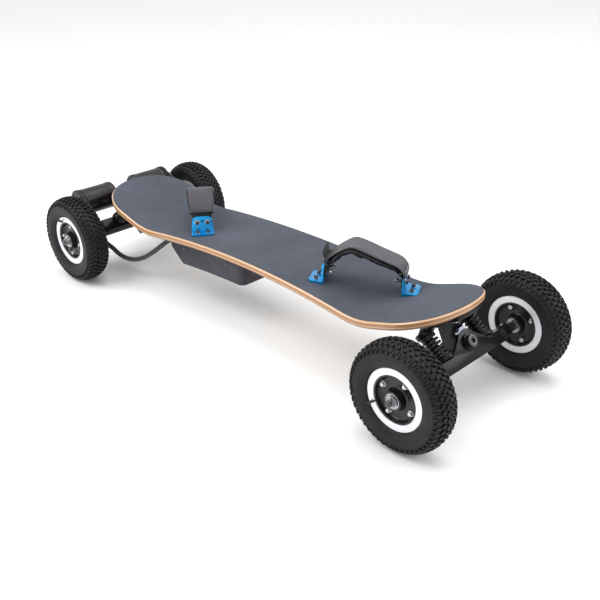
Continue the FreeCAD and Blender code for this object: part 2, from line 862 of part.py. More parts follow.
def plan_path(inset):
    """Plan outline of the board, set in from the deck's edge."""
    corner, nose = D["corner_radius"], D["nose_radius"]
    across = D["deck_shoulder"] - corner
    nose_x = D["deck_length"] / 2 - nose
    reach = nose - corner
    centre_x = nose_x + root(reach * reach - across * across)
    ux, uy = (centre_x - nose_x) / reach, across / reach
    length = D["deck_length"] / 2 - inset
    half, waist = D["deck_shoulder"] - inset, D["deck_waist"] - inset
    small = corner - inset
    mean = root((1 + uy) / 2)
    lean = ux / (mean * 2)
    middle = (centre_x + small * lean, across + small * mean)
    join = (nose_x + (nose - inset) * ux, (nose - inset) * uy)
    shoulder = (centre_x, half)
    nose_point = (length, 0)

    def turned(point, sx, sy):
        return (point[0] * sx, point[1] * sy)

    start = turned(shoulder, -1, 1)
    return [
        start,
        Arc((0, waist), shoulder),
        Arc(middle, join),
        Arc(nose_point, turned(join, 1, -1)),
        Arc(turned(middle, 1, -1), turned(shoulder, 1, -1)),
        Arc((0, -waist), turned(shoulder, -1, -1)),
        Arc(turned(middle, -1, -1), turned(join, -1, -1)),
        Arc(turned(nose_point, -1, 1), turned(join, -1, 1)),
        Arc(turned(middle, -1, 1), start),
    ]


def board_layer(label, low, high, inset):
    """A layer of the board: its side view padded across, then trimmed to the plan outline."""
    body = new_body(label)
    width = D["deck_shoulder"] + 20
    pad(body, "XZ_Plane", layer_path(low, high), -width, width)
    sketch = new_sketch(body, "XY_Plane", 0)
    trace(sketch, plan_path(inset))
    far_x, far_y = D["deck_length"] / 2 + 60, D["deck_shoulder"] + 60
    trace(sketch, [(-far_x, -far_y), (far_x, -far_y), (far_x, far_y), (-far_x, far_y)])
    pocket = body.newObject("PartDesign::Pocket", "Pocket")
    pocket.Profile = sketch
    pocket.Reversed = True
    pocket.setExpression("Length", text(D["deck_top"] + 200))
    return body


def rim_edges(shape):
    """Names of the edges between the deck's faces and its sides."""
    names = []
    for index, edge in enumerate(shape.Edges, start=1):
        slopes = []
        for face in shape.Faces:
            if any(edge.isSame(other) for other in face.Edges):
                place = face.Surface.parameter(edge.valueAt(edge.FirstParameter))
                slopes.append(abs(face.normalAt(*place).z))
        if len(slopes) == 2 and min(slopes) < 0.1 and max(slopes) > 0.5:
            names.append(f"Edge{index}")
    return names


def deck():
    """Plywood deck with bevelled edges and blind holes for the truck bolts."""
    body = board_layer("board", -D["deck_thickness"], 0, 0)
    doc.recompute()
    trimmed = body.Tip
    bevel = body.newObject("PartDesign::Chamfer", "Chamfer")
    bevel.Base = (trimmed, rim_edges(trimmed.Shape))
    bevel.setExpression("Size", text(D["edge_bevel"]))
    lean = math.radians(value(D["tip_angle"]))
    holes = []
    for end in (FRONT, REAR):
        for x, y in truck_bolt_points():
            foot_x, foot_z = under_tip(x, 1)
            axis = (-math.sin(lean) * end, 0, math.cos(lean))
            holes.append(rod((foot_x * end, y, foot_z), axis, BOLT_HOLE, 11))
    return cut(body, *holes)


def truck_bolts():
    """Eight truck bolts, headed under the base plates."""
    features = []
    lean = math.radians(value(D["tip_angle"]))
    for end in (FRONT, REAR):
        axis = Vector(-math.sin(lean) * end, 0, math.cos(lean))
        for x, y in truck_bolt_points():
            foot_x, foot_z = under_tip(x, D["base_plate"])
            foot = (foot_x * end, y, foot_z)
            shank = rod(foot, axis, BOLT_HOLE - 0.1, D["base_plate"] + 9)
            features.append(fuse([shank, rod(foot, axis * -1, 5.5, 4)]))
    return group(features)


# ---------------------------------------------------------------- battery box


def box_path(wall):
    """Side view of the box, or of its inside when a wall is given."""
    under = D["camber_radius"] - D["deck_thickness"]
    crown = D["deck_top"] - D["camber_radius"]
    top, floor = under - 0.3 + wall, under - D["box_depth"] + wall
    rear, front = -D["box_rear"] + wall, -D["box_front"] - wall

    def on_arc(radius, x):
        return (x, crown + root(radius * radius - x * x))

    slant = rear + 40
    toe = on_arc(top, rear + 4)
    return [
        on_arc(top, rear),
        Arc(on_arc(top, (rear + front) / 2), on_arc(top, front)),
        on_arc(floor, front),
        Arc(on_arc(floor, (slant + front) / 2), on_arc(floor, slant)),
        (toe[0], toe[1] - 20),
    ]


def box_block(wall, half):
    """The box as a solid, or its hollow when a wall is given, with rounded front corners."""
    side_view = new_body("side_view")
    pad(side_view, "XZ_Plane", box_path(wall), -half, half)
    corner, rear, front = D["box_corner"] - wall, -D["box_rear"] - 5, -D["box_front"] - wall
    middle = corner * (1 - math.sqrt(0.5))
    plan = [
        (rear, -half),
        (front - corner, -half),
        Arc((front - middle, middle - half), (front, corner - half)),
        (front, half - corner),
        Arc((front - middle, half - middle), (front - corner, half)),
        (rear, half),
    ]
    plan_view = new_body("plan_view")
    pad(plan_view, "XY_Plane", plan, 0, D["deck_top"] + 50)
    feature = doc.addObject("Part::Common", "Common")
    feature.Base, feature.Tool = side_view, plan_view
    return feature


def battery_box():
    """Moulded box with an open top, rounded front corners and a gland for the lead."""
    wall, half = D["box_wall"], D["box_half_width"]
    shell = cut(box_block(0, half), box_block(wall, half - wall))
    before, end = LEAD_ROUTE[-2:]
    gland = rod(end, [a - b for a, b in zip(end, before)], 8, 3 - D["box_rear"] - end[0])
    height = box_face_height()
    inside = -D["box_front"] - wall - 1
    holes = [
        rod((inside, BUTTON_Y, height), X_AXIS, D["button_radius"] + D["fit"], wall + 2),
        rod((inside, SOCKET_Y, height), X_AXIS, 8.1, wall + 2),
    ]
    for side in (LEFT, RIGHT):
        for x in BOX_SCREWS:
            start = (x, (half + 2) * side, box_screw_height(x))
            holes.append(rod(start, (0, -side, 0), 2.1, wall + 4))
    return cut(fuse([shell, gland]), *holes)


BOX_SCREWS = (-197, -127, -57)
BUTTON_Y, SOCKET_Y = -38, 20


def box_face_height():
    """Height of the button and the charge socket on the box's front face."""
    return D["deck_top"] - D["deck_thickness"] - D["box_depth"] / 2


def box_screw_height(x):
    """Height of a side screw: a fixed drop below the deck's underside."""
    under = D["camber_radius"] - D["deck_thickness"] - 18
    return D["deck_top"] - D["camber_radius"] + root(under * under - x * x)


def box_screws():
    """Six screws in the box's side walls."""
    features = []
    for side in (LEFT, RIGHT):
        for x in BOX_SCREWS:
            face = (x, D["box_half_width"] * side, box_screw_height(x))
            shank = rod(face, (0, -side, 0), 2, 7)
            head = rod(face, (0, side, 0), 4, 1.8, 2.6)
            features.append(fuse([shank, head]))
    return group(features)


def power_button():
    """Round push button in the box's front face, standing a little proud."""
    face = -D["box_front"]
    height = box_face_height()
    cap = rod((face - D["box_wall"], BUTTON_Y, height), X_AXIS, D["button_radius"], 5.5)
    stem = rod((face - 10, BUTTON_Y, height), X_AXIS, 4, 10)
    return fuse([cap, stem])


def charge_socket():
    """Round charging socket with a flange outside and a blind bore."""
    face = -D["box_front"]
    height = box_face_height()
    flange = rod((face + 0.1, SOCKET_Y, height), (1, 0, 0), 11, 2.5)
    sleeve = rod((face - 12, SOCKET_Y, height), (1, 0, 0), 8, 13)
    bore = rod((face - 9, SOCKET_Y, height), (1, 0, 0), 5.5, 13)
    return cut(fuse([flange, sleeve]), bore)


def battery_pack():
    """Block of cells, wrapped, in the front of the box."""
    bottom = D["deck_top"] - D["deck_thickness"] - D["box_depth"] + D["box_wall"] + 1.5
    inner = D["box_half_width"] - D["box_wall"] - 6
    return block((-D["box_front"] - 150, -inner, bottom), (-D["box_front"] - 24, inner, bottom + 42))


def motor_controller():
    """Speed controller: a finned block in the rear of the box."""
    bottom = D["deck_top"] - D["deck_thickness"] - D["box_depth"] + D["box_wall"] + 4
    start = D["box_rear"] * -1 + 33
    fins, pitch, base, top = 6, 8, bottom + 20, bottom + 26
    length = fins * pitch
    rows = [(start, bottom), (start + length, bottom), (start + length, top)]
    for index in range(fins):
        right = start + length - pitch * index
        rows += [(right - 4, top), (right - 4, base), (right - pitch, base), (right - pitch, top)]
    body = new_body("controller")
    pad(body, "XZ_Plane", rows, -52, 52)
    return body


# ---------------------------------------------------------------- drive


def motor_centre():
    return -D["wheelbase"] / 2 - D["motor_behind"], D["tyre_radius"] + D["motor_above"]


def motor(side):
    """Motor case, hollow round its rotor, with end rings, a gland and mounting face."""
    body = new_body("motor")
    radius, length = D["motor_radius"], D["motor_length"]
    bore = radius - 12
    shaft = D["shaft_radius"] + D["fit"]
    revolve(
        body,
        [
            (shaft, 0),
            (radius - 1, 0),
            (radius, 1),
            (radius, 7),
            (radius - 0.8, 7.8),
            (radius - 0.8, length - 8),
            (radius, length - 7.2),
            (radius, length - 3),
            (radius - 3, length),
            (shaft, length),
            (shaft, length - 4),
            (bore, length - 4),
            (bore, 6),
            (shaft, 6),
        ],
    )
    x, z = motor_centre()
    turn = Rotation(Vector(0, 1, 0), Vector(0, -side, 0))
    placed = move(body, (x, D["motor_outboard"] * side, z), turn)
    gland = rod((x, LEAD_ROUTE[0][1] * -side, z), (0, 0, -1), 8, radius + 3)
    core = rod((x, -D["track"] / 2, z), Y_AXIS, radius - 2, D["track"])
    return fuse([placed, cut(gland, core)])


def pulley_outline(teeth, root_radius, tip_radius):
    """Toothed outline with slanted flanks, as a wire in the XZ plane."""
    points = []
    step = 2 * math.pi / teeth
    flanks = ((-0.32, root_radius), (-0.22, tip_radius), (0.22, tip_radius), (0.32, root_radius))
    for index in range(teeth):
        for share, radius in flanks:
            angle = step * (index + share)
            points.append(Vector(radius * math.cos(angle), 0, radius * math.sin(angle)))
    return Part.makePolygon([*points, points[0]])


def pulley_radius(teeth):
    """Tip radius of a pulley: its pitch radius less the belt's pitch-line offset."""
    return value(D["belt_pitch"]) * value(teeth) / (2 * math.pi) - 0.6


def toothed(teeth):
    tip = pulley_radius(teeth)
    face = Part.Face(pulley_outline(int(value(teeth)), tip - 2, tip))
    return face.extrude(Vector(0, value(D["pulley_width"]), 0))


def ring_solid(radius, low, high):
    return Part.makeCylinder(radius, high - low, Vector(0, low, 0), Vector(0, 1, 0))


def wheel_pulley(side):
    """Toothed wheel pulley with flanges, windows and the spacer that bolts it to the hub."""
    width = value(D["pulley_width"])
    tip = pulley_radius(D["wheel_teeth"])
    reach = value(D["track"]) / 2 - value(D["web_thickness"]) - value(D["pulley_outboard"]) - 4.1
    shape = toothed(D["wheel_teeth"])
    shape = shape.fuse([ring_solid(tip + 1.5, 0, 1.2), ring_solid(36, width, width + reach)])
    shape = shape.cut(ring_solid(value(D["collar_radius"]) + 6, -1, width + reach + 1))
    shape = shape.cut(ring_solid(30, 5, width + reach + 1))
    for index in range(6):
        angle = math.radians(60 * index)
        start = Vector(41.0 * math.cos(angle), -1, 41.0 * math.sin(angle))
        shape = shape.cut(Part.makeCylinder(4.2, width + 2, start, Vector(0, 1, 0)))
    feature = from_shape(shape)
    y = (D["pulley_outboard"] - D["pulley_width"]) * side
    turn = Rotation(Vector(0, 1, 0), Vector(0, side, 0))
    return move(feature, (-D["wheelbase"] / 2, y, D["tyre_radius"]), turn)


def motor_rotor(side):
    """Motor shaft with its magnet core inside the motor and its pinion outside."""
    width, length = value(D["pulley_width"]), value(D["motor_length"])
    inboard = value(D["pulley_outboard"]) - width - value(D["motor_outboard"])
    core = value(D["motor_radius"]) - 12.5
    shape = toothed(D["motor_teeth"])
    tip = pulley_radius(D["motor_teeth"])
    solids = [
        ring_solid(value(D["shaft_radius"]), -inboard - length + 1, width + 1.2),
        ring_solid(core, -inboard - length + 5, -inboard - 7),
        ring_solid(tip + 1.5, -1.2, 0.2),
        ring_solid(tip + 1.5, width - 0.2, width + 1.2),
    ]
    shape = shape.fuse(solids)
    x, z = motor_centre()
    feature = from_shape(shape)
    y = (D["pulley_outboard"] - D["pulley_width"]) * side
    return move(feature, (x, y, z), Rotation(Vector(0, 1, 0), Vector(0, side, 0)))


def stadium(centres, radii):
    """Outline round two circles in the XZ plane, with their outer tangents."""
    (ax, az), (bx, bz) = centres
    first, second = radii
    length = math.hypot(bx - ax, bz - az)
    along = math.atan2(bz - az, bx - ax)
    lean = math.acos((first - second) / length)

    def at(centre, radius, angle):
        return Vector(centre[0] + radius * math.cos(angle), 0, centre[1] + radius * math.sin(angle))

    a1, a2 = at((ax, az), first, along + lean), at((ax, az), first, along - lean)
    b1, b2 = at((bx, bz), second, along + lean), at((bx, bz), second, along - lean)
    edges = [
        Part.Arc(a1, at((ax, az), first, along + math.pi), a2).toShape(),
        Part.LineSegment(a2, b2).toShape(),
        Part.Arc(b2, at((bx, bz), second, along), b1).toShape(),
        Part.LineSegment(b1, a1).toShape(),
    ]
    return Part.Face(Part.Wire(edges))


def drive_centres():
    """Axle and motor axis, as (x, z)."""
    x, z = motor_centre()
    return (value(D["wheelbase"]) / -2, value(D["tyre_radius"])), (value(x), value(z))


def belt(side):
    """Toothed belt, drawn as a plain loop that clears both pulleys."""
    inner = [pulley_radius(D[name]) + value(D["gap"]) for name in ("wheel_teeth", "motor_teeth")]
    outer = [radius + value(D["belt_thickness"]) for radius in inner]
    width = value(D["belt_width"])
    loops = [stadium(drive_centres(), radii).extrude(Vector(0, width, 0)) for radii in (outer, inner)]
    feature = from_shape(loops[0].cut(loops[1]))
    middle = D["pulley_outboard"] - D["pulley_width"] / 2
    return move(feature, (0, middle * side - width / 2, 0))


def motor_mount(side):
    """Plate that clamps on the hanger's arm and carries the motor."""
    thickness = value(D["mount_thickness"])
    plate = stadium(drive_centres(), (24, value(D["motor_radius"]) + 1)).extrude(Vector(0, thickness, 0))
    (ax, az), (bx, bz) = drive_centres()
    across = Vector(0, 1, 0)
    shape = plate.cut(Part.makeCylinder(hanger_arm_radius(), thickness + 2, Vector(ax, -1, az), across))
    shape = shape.cut(Part.makeCylinder(13, thickness + 2, Vector(bx, -1, bz), across))
    for index in range(4):
        angle = math.radians(45 + 90 * index)
        start = Vector(bx + 20 * math.cos(angle), -1, bz + 20 * math.sin(angle))
        shape = shape.cut(Part.makeCylinder(2.2, thickness + 2, start, across))
    feature = from_shape(shape)
    face = D["motor_outboard"] if side == LEFT else -D["motor_outboard"] - D["mount_thickness"]
    return move(feature, (0, face, 0))


def hanger_arm_radius():
    """Bore of a motor mount, a close fit on the hanger's arm."""
    return value(D["arm_radius"]) + 0.02


# ---------------------------------------------------------------- bindings


def grip_top(along):
    """Height of the grip tape's top at a distance from the board's middle, short of a tip."""
    radius, bend = value(D["camber_radius"]), value(D["bend_radius"])
    half = value(D["camber_half"])
    top = value(D["deck_top"]) + value(D["grip_thickness"])
    if along <= half:
        return top - radius + math.sqrt(radius**2 - along**2)
    level = math.sqrt(radius**2 - half**2)
    centre = half + bend * half / radius
    height = top - radius + level + bend * level / radius
    return height - math.sqrt(bend**2 - (along - centre) ** 2)


def binding_place(end):
    """A binding's frame: origin midway between the strap bolts, X along them, Z up."""
    name = "front" if end == FRONT else "rear"
    turn, centre = value(D[name + "_strap_turn"]), value(D[name + "_strap_centre"])
    half, along = value(D["strap_span"]) / 2, math.cos(math.radians(turn))
    near = grip_top(centre - half * along)
    far = grip_top(centre + (half + value(D["foot_length"])) * along)
    lean = math.degrees(math.atan2(far - near, 2 * half))
    heading = turn if end == FRONT else 180 - turn
    turned = Rotation(Vector(0, 0, 1), heading) * Rotation(Vector(0, 1, 0), -lean)
    height = (near + far) / 2 + value(D["bolt_height"])
    return (centre * end, D["strap_shift"], height), turned


def bracket_screws():
    """Foot screws of a bracket: distance from the ear's inner face and across."""
    return [(17, -D["bolt_spread"]), (17, D["bolt_spread"])]


def strap_bolts():
    """Strap bolts of a bracket: place across it and height above its underside."""
    return [(side * D["bolt_spread"], D["bolt_height"]) for side in (-1, 1)]


def bracket():
    """Angle bracket: an upright ear with a rounded top and a foot with screw holes."""
    width, plate, depth = D["ear_width"] / 2, D["ear_thickness"], D["foot_depth"]
    round_off = 12
    top = D["ear_height"] - round_off
    lean = round_off * 0.7071
    outline = [
        (-width, -depth),
        (width, -depth),
        (width, 0),
        (width - 2, top),
        Arc((width - 2 - round_off + lean, top + lean), (width - 2 - round_off, top + round_off)),
        (round_off + 2 - width, top + round_off),
        Arc((round_off + 2 - width - lean, top + lean), (2 - width, top)),
        (-width, 0),
    ]
    length = D["foot_length"]
    foot = [
        (0, -width),
        (length - 6, -width),
        (length, 6 - width),
        (length, width - 6),
        (length - 6, width),
        (0, width),
    ]
    body = new_body("bracket")
    pad(body, "YZ_Plane", outline, 0, plate)
    pad(body, "XY_Plane", foot, -depth, plate)
    drill(body, "YZ_Plane", [(point, D["bolt_radius"] + 0.1) for point in strap_bolts()], -1, plate + 1)
    drill(body, "XY_Plane", [(point, 2.6) for point in bracket_screws()], -depth - 1, plate + 1)
    return body


def bracket_fasteners():
    """Foot screws and strap bolts of one bracket, in the bracket's frame."""
    plate, reach = D["ear_thickness"], D["strap_thickness"] + 1.5
    pieces = []
    for x, y in bracket_screws():
        shank = rod((x, y, 0), Z_AXIS, 2.5, plate + 0.5)
        pieces.append(fuse([shank, rod((x, y, plate), Z_AXIS, 4.4, 2.4, 3.2)]))
    for across, height in strap_bolts():
        shank = rod((-reach, across, height), X_AXIS, D["bolt_radius"], reach + plate)
        head = rod((plate, across, height), X_AXIS, 5.2, 3.2)
        plate_nut = rod((-reach - 2, across, height), X_AXIS, 6.5, 2)
        pieces.append(fuse([shank, head, plate_nut]))
    return group(pieces)


def at_brackets(maker):
    """A piece made for each of the four brackets and set in its place."""
    features = []
    for end in (FRONT, REAR):
        base, turned = binding_place(end)
        for outward in (1, -1):
            half, drop = value(D["strap_span"]) / 2, value(D["bolt_height"])
            offset = turned.multVec(Vector(half * outward, 0, -drop))
            turn = turned if outward == 1 else turned * Rotation(Vector(0, 0, 1), 180)
            place = (base[0] + offset.x, base[1] + offset.y, base[2] + offset.z)
            features.append(move(maker(), place, turn))
    return group(features)


def on_the_board(maker):
    """A piece made for each bracket, with what would sink into the board cut off."""
    board = board_layer("seat", -D["deck_thickness"], D["grip_thickness"], 0)
    return cut(at_brackets(maker), board)


def arch_points(half, rise):
    """Points of a rounded arch from its right foot over the crest to its left foot."""
    steps, squareness = 16, 2.6
    points = []
    for index in range(steps + 1):
        angle = math.pi * index / steps
        across, up = math.cos(angle), math.sin(angle)
        x = math.copysign(abs(across) ** (2 / squareness), across)
        points.append(Vector(half * x, 0, rise * abs(up) ** (2 / squareness)))
    return points


def strap(end):
    """Padded strap: an arch between the ears, with two bolt holes at each foot."""
    half = value(D["strap_span"]) / 2 - value(D["gap"])
    thickness, width = value(D["strap_thickness"]), value(D["strap_width"])
    rise, narrow = value(D["strap_rise"]), value(D["ear_width"]) - 6
    foot = -9.0
    outer = arch_points(half, rise)
    inner = arch_points(half - thickness, rise - thickness)[::-1]
    ring = [
        Vector(half, 0, foot),
        *outer,
        Vector(-half, 0, foot),
        Vector(thickness - half, 0, foot),
        *inner,
        Vector(half - thickness, 0, foot),
    ]
    arch = Part.Face(Part.makePolygon([*ring, ring[0]])).extrude(Vector(0, width, 0))
    arch.translate(Vector(0, -width / 2, 0))
    side = [(-half, -narrow / 2), (-half * 0.6, -width / 2), (half * 0.6, -width / 2)]
    side.append((half, -narrow / 2))
    outline = [Vector(x, y, foot - 1) for x, y in [*side, *[(x, -y) for x, y in side[::-1]]]]
    trim = Part.Face(Part.makePolygon([*outline, outline[0]])).extrude(Vector(0, 0, rise + 20))
    bore = value(D["bolt_radius"]) + value(D["fit"])
    shape = arch.common(trim)
    for side in (-1, 1):
        start = Vector(-half - 1, value(D["bolt_spread"]) * side, 0)
        shape = shape.cut(Part.makeCylinder(bore, 2 * half + 2, start, Vector(1, 0, 0)))
    base, turned = binding_place(end)
    return move(from_shape(shape), base, turned)


# ---------------------------------------------------------------- motor lead


def lead_path():
    """Straight runs joined by the largest tangent arcs that fit; also their radii."""
    points = [Vector(*point) for point in LEAD_ROUTE]
    edges, radii = [], []
    start = points[0]
    for before, corner, after in zip(points, points[1:], points[2:]):
        arriving, leaving = (corner - before).normalize(), (after - corner).normalize()
        turn = arriving.getAngle(leaving)
        shorter = min((corner - before).Length, (after - corner).Length)
        setback = 0.45 * shorter
        radii.append(setback / math.tan(turn / 2))
        first, last = corner - arriving * setback, corner + leaving * setback
        to_centre = (leaving - arriving).normalize()
        centre = corner + to_centre * (setback / math.sin(turn / 2))
        middle = centre - to_centre * radii[-1]
        edges.append(Part.LineSegment(start, first).toShape())
        edges.append(Part.Arc(first, middle, last).toShape())
        start = last
    edges.append(Part.LineSegment(start, points[-1]).toShape())
    return Part.Wire(edges), radii


def motor_lead():
    """Sleeved lead swept along its route; its volume is compared with section times length."""
    path, radii = lead_path()
    radius = value(D["lead_radius"])
    start = Vector(*LEAD_ROUTE[0])
    direction = Vector(*LEAD_ROUTE[1]) - start
    circle = Part.Wire(Part.Circle(start, direction, radius).toShape())
    shape = path.makePipeShell([circle], True, False)
    expected = math.pi * radius**2 * path.Length
    print("lead length", round(path.Length, 1), "radii", [round(r, 1) for r in radii])
    print("lead volume", round(shape.Volume), "section times length", round(expected))
    return from_shape(shape)


# ---------------------------------------------------------------- assembly and export


def build():
    wheel("front_left", FRONT, LEFT, 28)
    wheel("front_right", FRONT, RIGHT, -28)
    wheel("rear_left", REAR, LEFT, 4)
    wheel("rear_right", REAR, RIGHT, -4)
    truck("front", FRONT)
    truck("rear", REAR)
    publish("deck", deck())
    publish("grip_tape", board_layer("tape", 0, D["grip_thickness"], D["grip_inset"]))
    publish("truck_bolts", truck_bolts())
    publish("battery_box", battery_box())
    publish("box_screws", box_screws())
    publish("battery_pack", battery_pack())
    publish("motor_controller", motor_controller())
    publish("power_button", power_button())
    publish("charge_socket", charge_socket())
    publish("binding_brackets", on_the_board(bracket))
    publish("binding_screws", on_the_board(bracket_fasteners))
    publish("front_strap", strap(FRONT))
    publish("rear_strap", strap(REAR))
    for name, side in (("right", RIGHT), ("left", LEFT)):
        publish(f"{name}_motor", motor(side))
        publish(f"{name}_motor_rotor", motor_rotor(side))
        publish(f"{name}_motor_mount", motor_mount(side))
        publish(f"{name}_wheel_pulley", wheel_pulley(side))
        publish(f"{name}_belt", belt(side))
    publish("motor_lead", motor_lead())


def check():
    """Stop if any object failed or any piece has no sound shape."""
    for item in doc.Objects:
        if "Invalid" in item.State or "Error" in item.State:
            raise RuntimeError(f"{item.Label} ({item.TypeId}) failed: {item.State}")
    for name, feature in parts.items():
        if feature.Shape.isNull() or not feature.Shape.isValid():
            raise RuntimeError(f"{name} has no valid shape")


def export():
    os.makedirs("parts", exist_ok=True)
    for name, feature in parts.items():
        feature.Shape.exportStep(os.path.join("parts", f"{name}.step"))


build()
doc.recompute()
check()
export()
print(len(parts), "pieces")
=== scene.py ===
"""Looks of the electric skateboard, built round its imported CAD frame."""

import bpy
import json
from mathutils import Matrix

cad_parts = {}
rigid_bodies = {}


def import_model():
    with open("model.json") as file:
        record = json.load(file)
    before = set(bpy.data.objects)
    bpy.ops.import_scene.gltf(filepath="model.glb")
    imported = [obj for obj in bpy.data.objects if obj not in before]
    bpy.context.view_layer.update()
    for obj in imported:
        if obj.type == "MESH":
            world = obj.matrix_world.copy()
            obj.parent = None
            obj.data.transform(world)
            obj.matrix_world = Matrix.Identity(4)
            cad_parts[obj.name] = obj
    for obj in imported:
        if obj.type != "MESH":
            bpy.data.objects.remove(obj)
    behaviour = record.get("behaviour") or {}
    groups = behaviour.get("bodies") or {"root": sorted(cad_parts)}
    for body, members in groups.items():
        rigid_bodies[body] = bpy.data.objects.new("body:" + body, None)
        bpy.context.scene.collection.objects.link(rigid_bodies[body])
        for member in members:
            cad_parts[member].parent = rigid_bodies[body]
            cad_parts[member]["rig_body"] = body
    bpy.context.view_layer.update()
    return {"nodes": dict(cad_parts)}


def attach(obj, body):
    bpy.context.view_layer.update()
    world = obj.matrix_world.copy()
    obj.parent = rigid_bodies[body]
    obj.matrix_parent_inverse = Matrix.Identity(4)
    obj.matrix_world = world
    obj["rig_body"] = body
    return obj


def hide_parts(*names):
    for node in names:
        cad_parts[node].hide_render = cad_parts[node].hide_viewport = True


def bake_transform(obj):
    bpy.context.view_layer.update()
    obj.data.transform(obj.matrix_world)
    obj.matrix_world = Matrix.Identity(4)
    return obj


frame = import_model()

import bpy, bmesh
import json
import random
from math import acos, atan2, copysign, cos, hypot, pi, radians, sin, sqrt, tan

from mathutils import Matrix, Vector, noise

MM = 0.001
CORNERS = {"front_left": (1, 1), "front_right": (1, -1), "rear_left": (-1, 1), "rear_right": (-1, -1)}
ENDS = {"front": 1, "rear": -1}
SIDES = {"right": -1, "left": 1}
AXLE_X, AXLE_Z, WHEEL_Y = 484, 100, 175
X, Y, Z = Vector((1, 0, 0)), Vector((0, 1, 0)), Vector((0, 0, 1))

# ---------------------------------------------------------------- materials


class Paint:
    """A Principled material with short calls for its nodes."""

    def __init__(self, name, colour, roughness, **sockets):
        self.material = bpy.data.materials.new(name)
        self.material.use_nodes = True
        self.tree = self.material.node_tree
        self.shader = self.tree.nodes["Principled BSDF"]
        self.colour = colour
        self.put(self.shader, "Base Color", (*colour, 1))
        self.put(self.shader, "Roughness", roughness)
        for key, value in sockets.items():
            self.put(self.shader, key.replace("_", " "), value)

    def put(self, node, socket, value):
        if isinstance(value, bpy.types.NodeSocket):
            self.tree.links.new(value, node.inputs[socket])
        else:
            node.inputs[socket].default_value = value

    def add(self, kind, inputs, **settings):
        node = self.tree.nodes.new("ShaderNode" + kind)
        for key, value in settings.items():
            setattr(node, key, value)
        for socket, value in inputs.items():
            self.put(node, socket, value)
        return node

    def place(self, scale=(1, 1, 1), uv=False):
        source = self.add("TexCoord", {}).outputs["UV" if uv else "Object"]
        return self.add("Mapping", {"Vector": source, "Scale": scale}).outputs[0]

    def noise(self, scale, detail=3, roughness=0.55, at=None):
        inputs = {"Scale": scale, "Detail": detail, "Roughness": roughness}
        return self.add("TexNoise", {**inputs, "Vector": at or self.place()}).outputs["Fac"]

    def cells(self, scale):
        return self.add("TexVoronoi", {"Scale": scale, "Vector": self.place()}).outputs["Distance"]

    def waves(self, scale, direction, at, distortion=0):
        inputs = {"Scale": scale, "Distortion": distortion, "Vector": at}
        return self.add("TexWave", inputs, bands_direction=direction).outputs["Fac"]

    def maths(self, operation, first, second=0.0):
        return self.add("Math", {0: first, 1: second}, operation=operation).outputs[0]

    def mix(self, first, share, second):
        """First times its share, plus second times the rest."""
        parts = self.maths("MULTIPLY", first, share), self.maths("MULTIPLY", second, round(1 - share, 6))
        return self.maths("ADD", *parts)

    def ramp(self, fac, *stops):
        node = self.add("ValToRGB", {"Fac": fac})
        elements = node.color_ramp.elements
        while len(elements) < len(stops):
            elements.new(0.5)
        for element, (position, colour) in zip(elements, stops):
            element.position = position
            element.color = (*colour, 1)
        return node.outputs["Color"]

    def range(self, fac, low, high, start=0.0, end=1.0):
        inputs = {"Value": fac, "From Min": start, "From Max": end, "To Min": low, "To Max": high}
        return self.add("MapRange", inputs).outputs[0]

    def blend(self, fac, first, second, **settings):
        node = self.add("Mix", {}, data_type="RGBA", **settings)
        for index, value in ((0, fac), (6, first), (7, second)):
            self.put(node, index, (*value, 1) if isinstance(value, tuple) else value)
        return node.outputs[2]

    def base(self, socket):
        self.put(self.shader, "Base Color", socket)
        return self

    def rough(self, socket):
        self.put(self.shader, "Roughness", socket)
        return self

    def bump(self, height, distance, strength=1.0, under=None):
        inputs = {"Height": height, "Distance": distance, "Strength": strength}
        if under is not None:
            inputs["Normal"] = under
        normal = self.add("Bump", inputs).outputs[0]
        self.put(self.shader, "Normal", normal)
        return normal

    def shade(self, fac, spread):
        """Base colour varied by a noise between two shares of itself."""
        low, high = ([c * share for c in self.colour] for share in spread)
        return self.base(self.ramp(fac, (0.3, low), (0.7, high)))


def tyre_rubber():
    p = Paint("tyre_rubber", (0.008, 0.008, 0.010), 0.5, Specular_IOR_Level=0.24)
    dust = p.noise(22, 5)
    p.base(p.ramp(dust, (0.35, (0.006, 0.006, 0.008)), (0.75, (0.014, 0.014, 0.016))))
    p.rough(p.range(p.noise(60), 0.40, 0.60))
    p.bump(p.noise(1800, 2), 0.00012, 0.5)
    return p.material


def tube_rubber():
    p = Paint("tube_rubber", (0.02, 0.02, 0.02), 0.5)
    p.shade(p.noise(40), (0.8, 1.3))
    p.bump(p.waves(300, "Y", p.place()), 0.0001, 0.4)
    return p.material


def machined_steel():
    p = Paint("machined_steel", (0.52, 0.52, 0.53), 0.27, Metallic=1.0)
    turned = p.waves(900, "Y", p.place(), 0.6)
    p.shade(p.noise(200, 3), (0.85, 1.1))
    p.rough(p.range(turned, 0.22, 0.34))
    p.bump(turned, 0.00002, 0.3)
    return p.material


def belt_rubber():
    p = Paint("belt_rubber", (0.014, 0.014, 0.014), 0.62)
    at = p.place(uv=True)
    p.shade(p.noise(160, 3), (0.75, 1.5))
    p.bump(p.waves(260, "Y", at), 0.0001, 0.35)
    return p.material


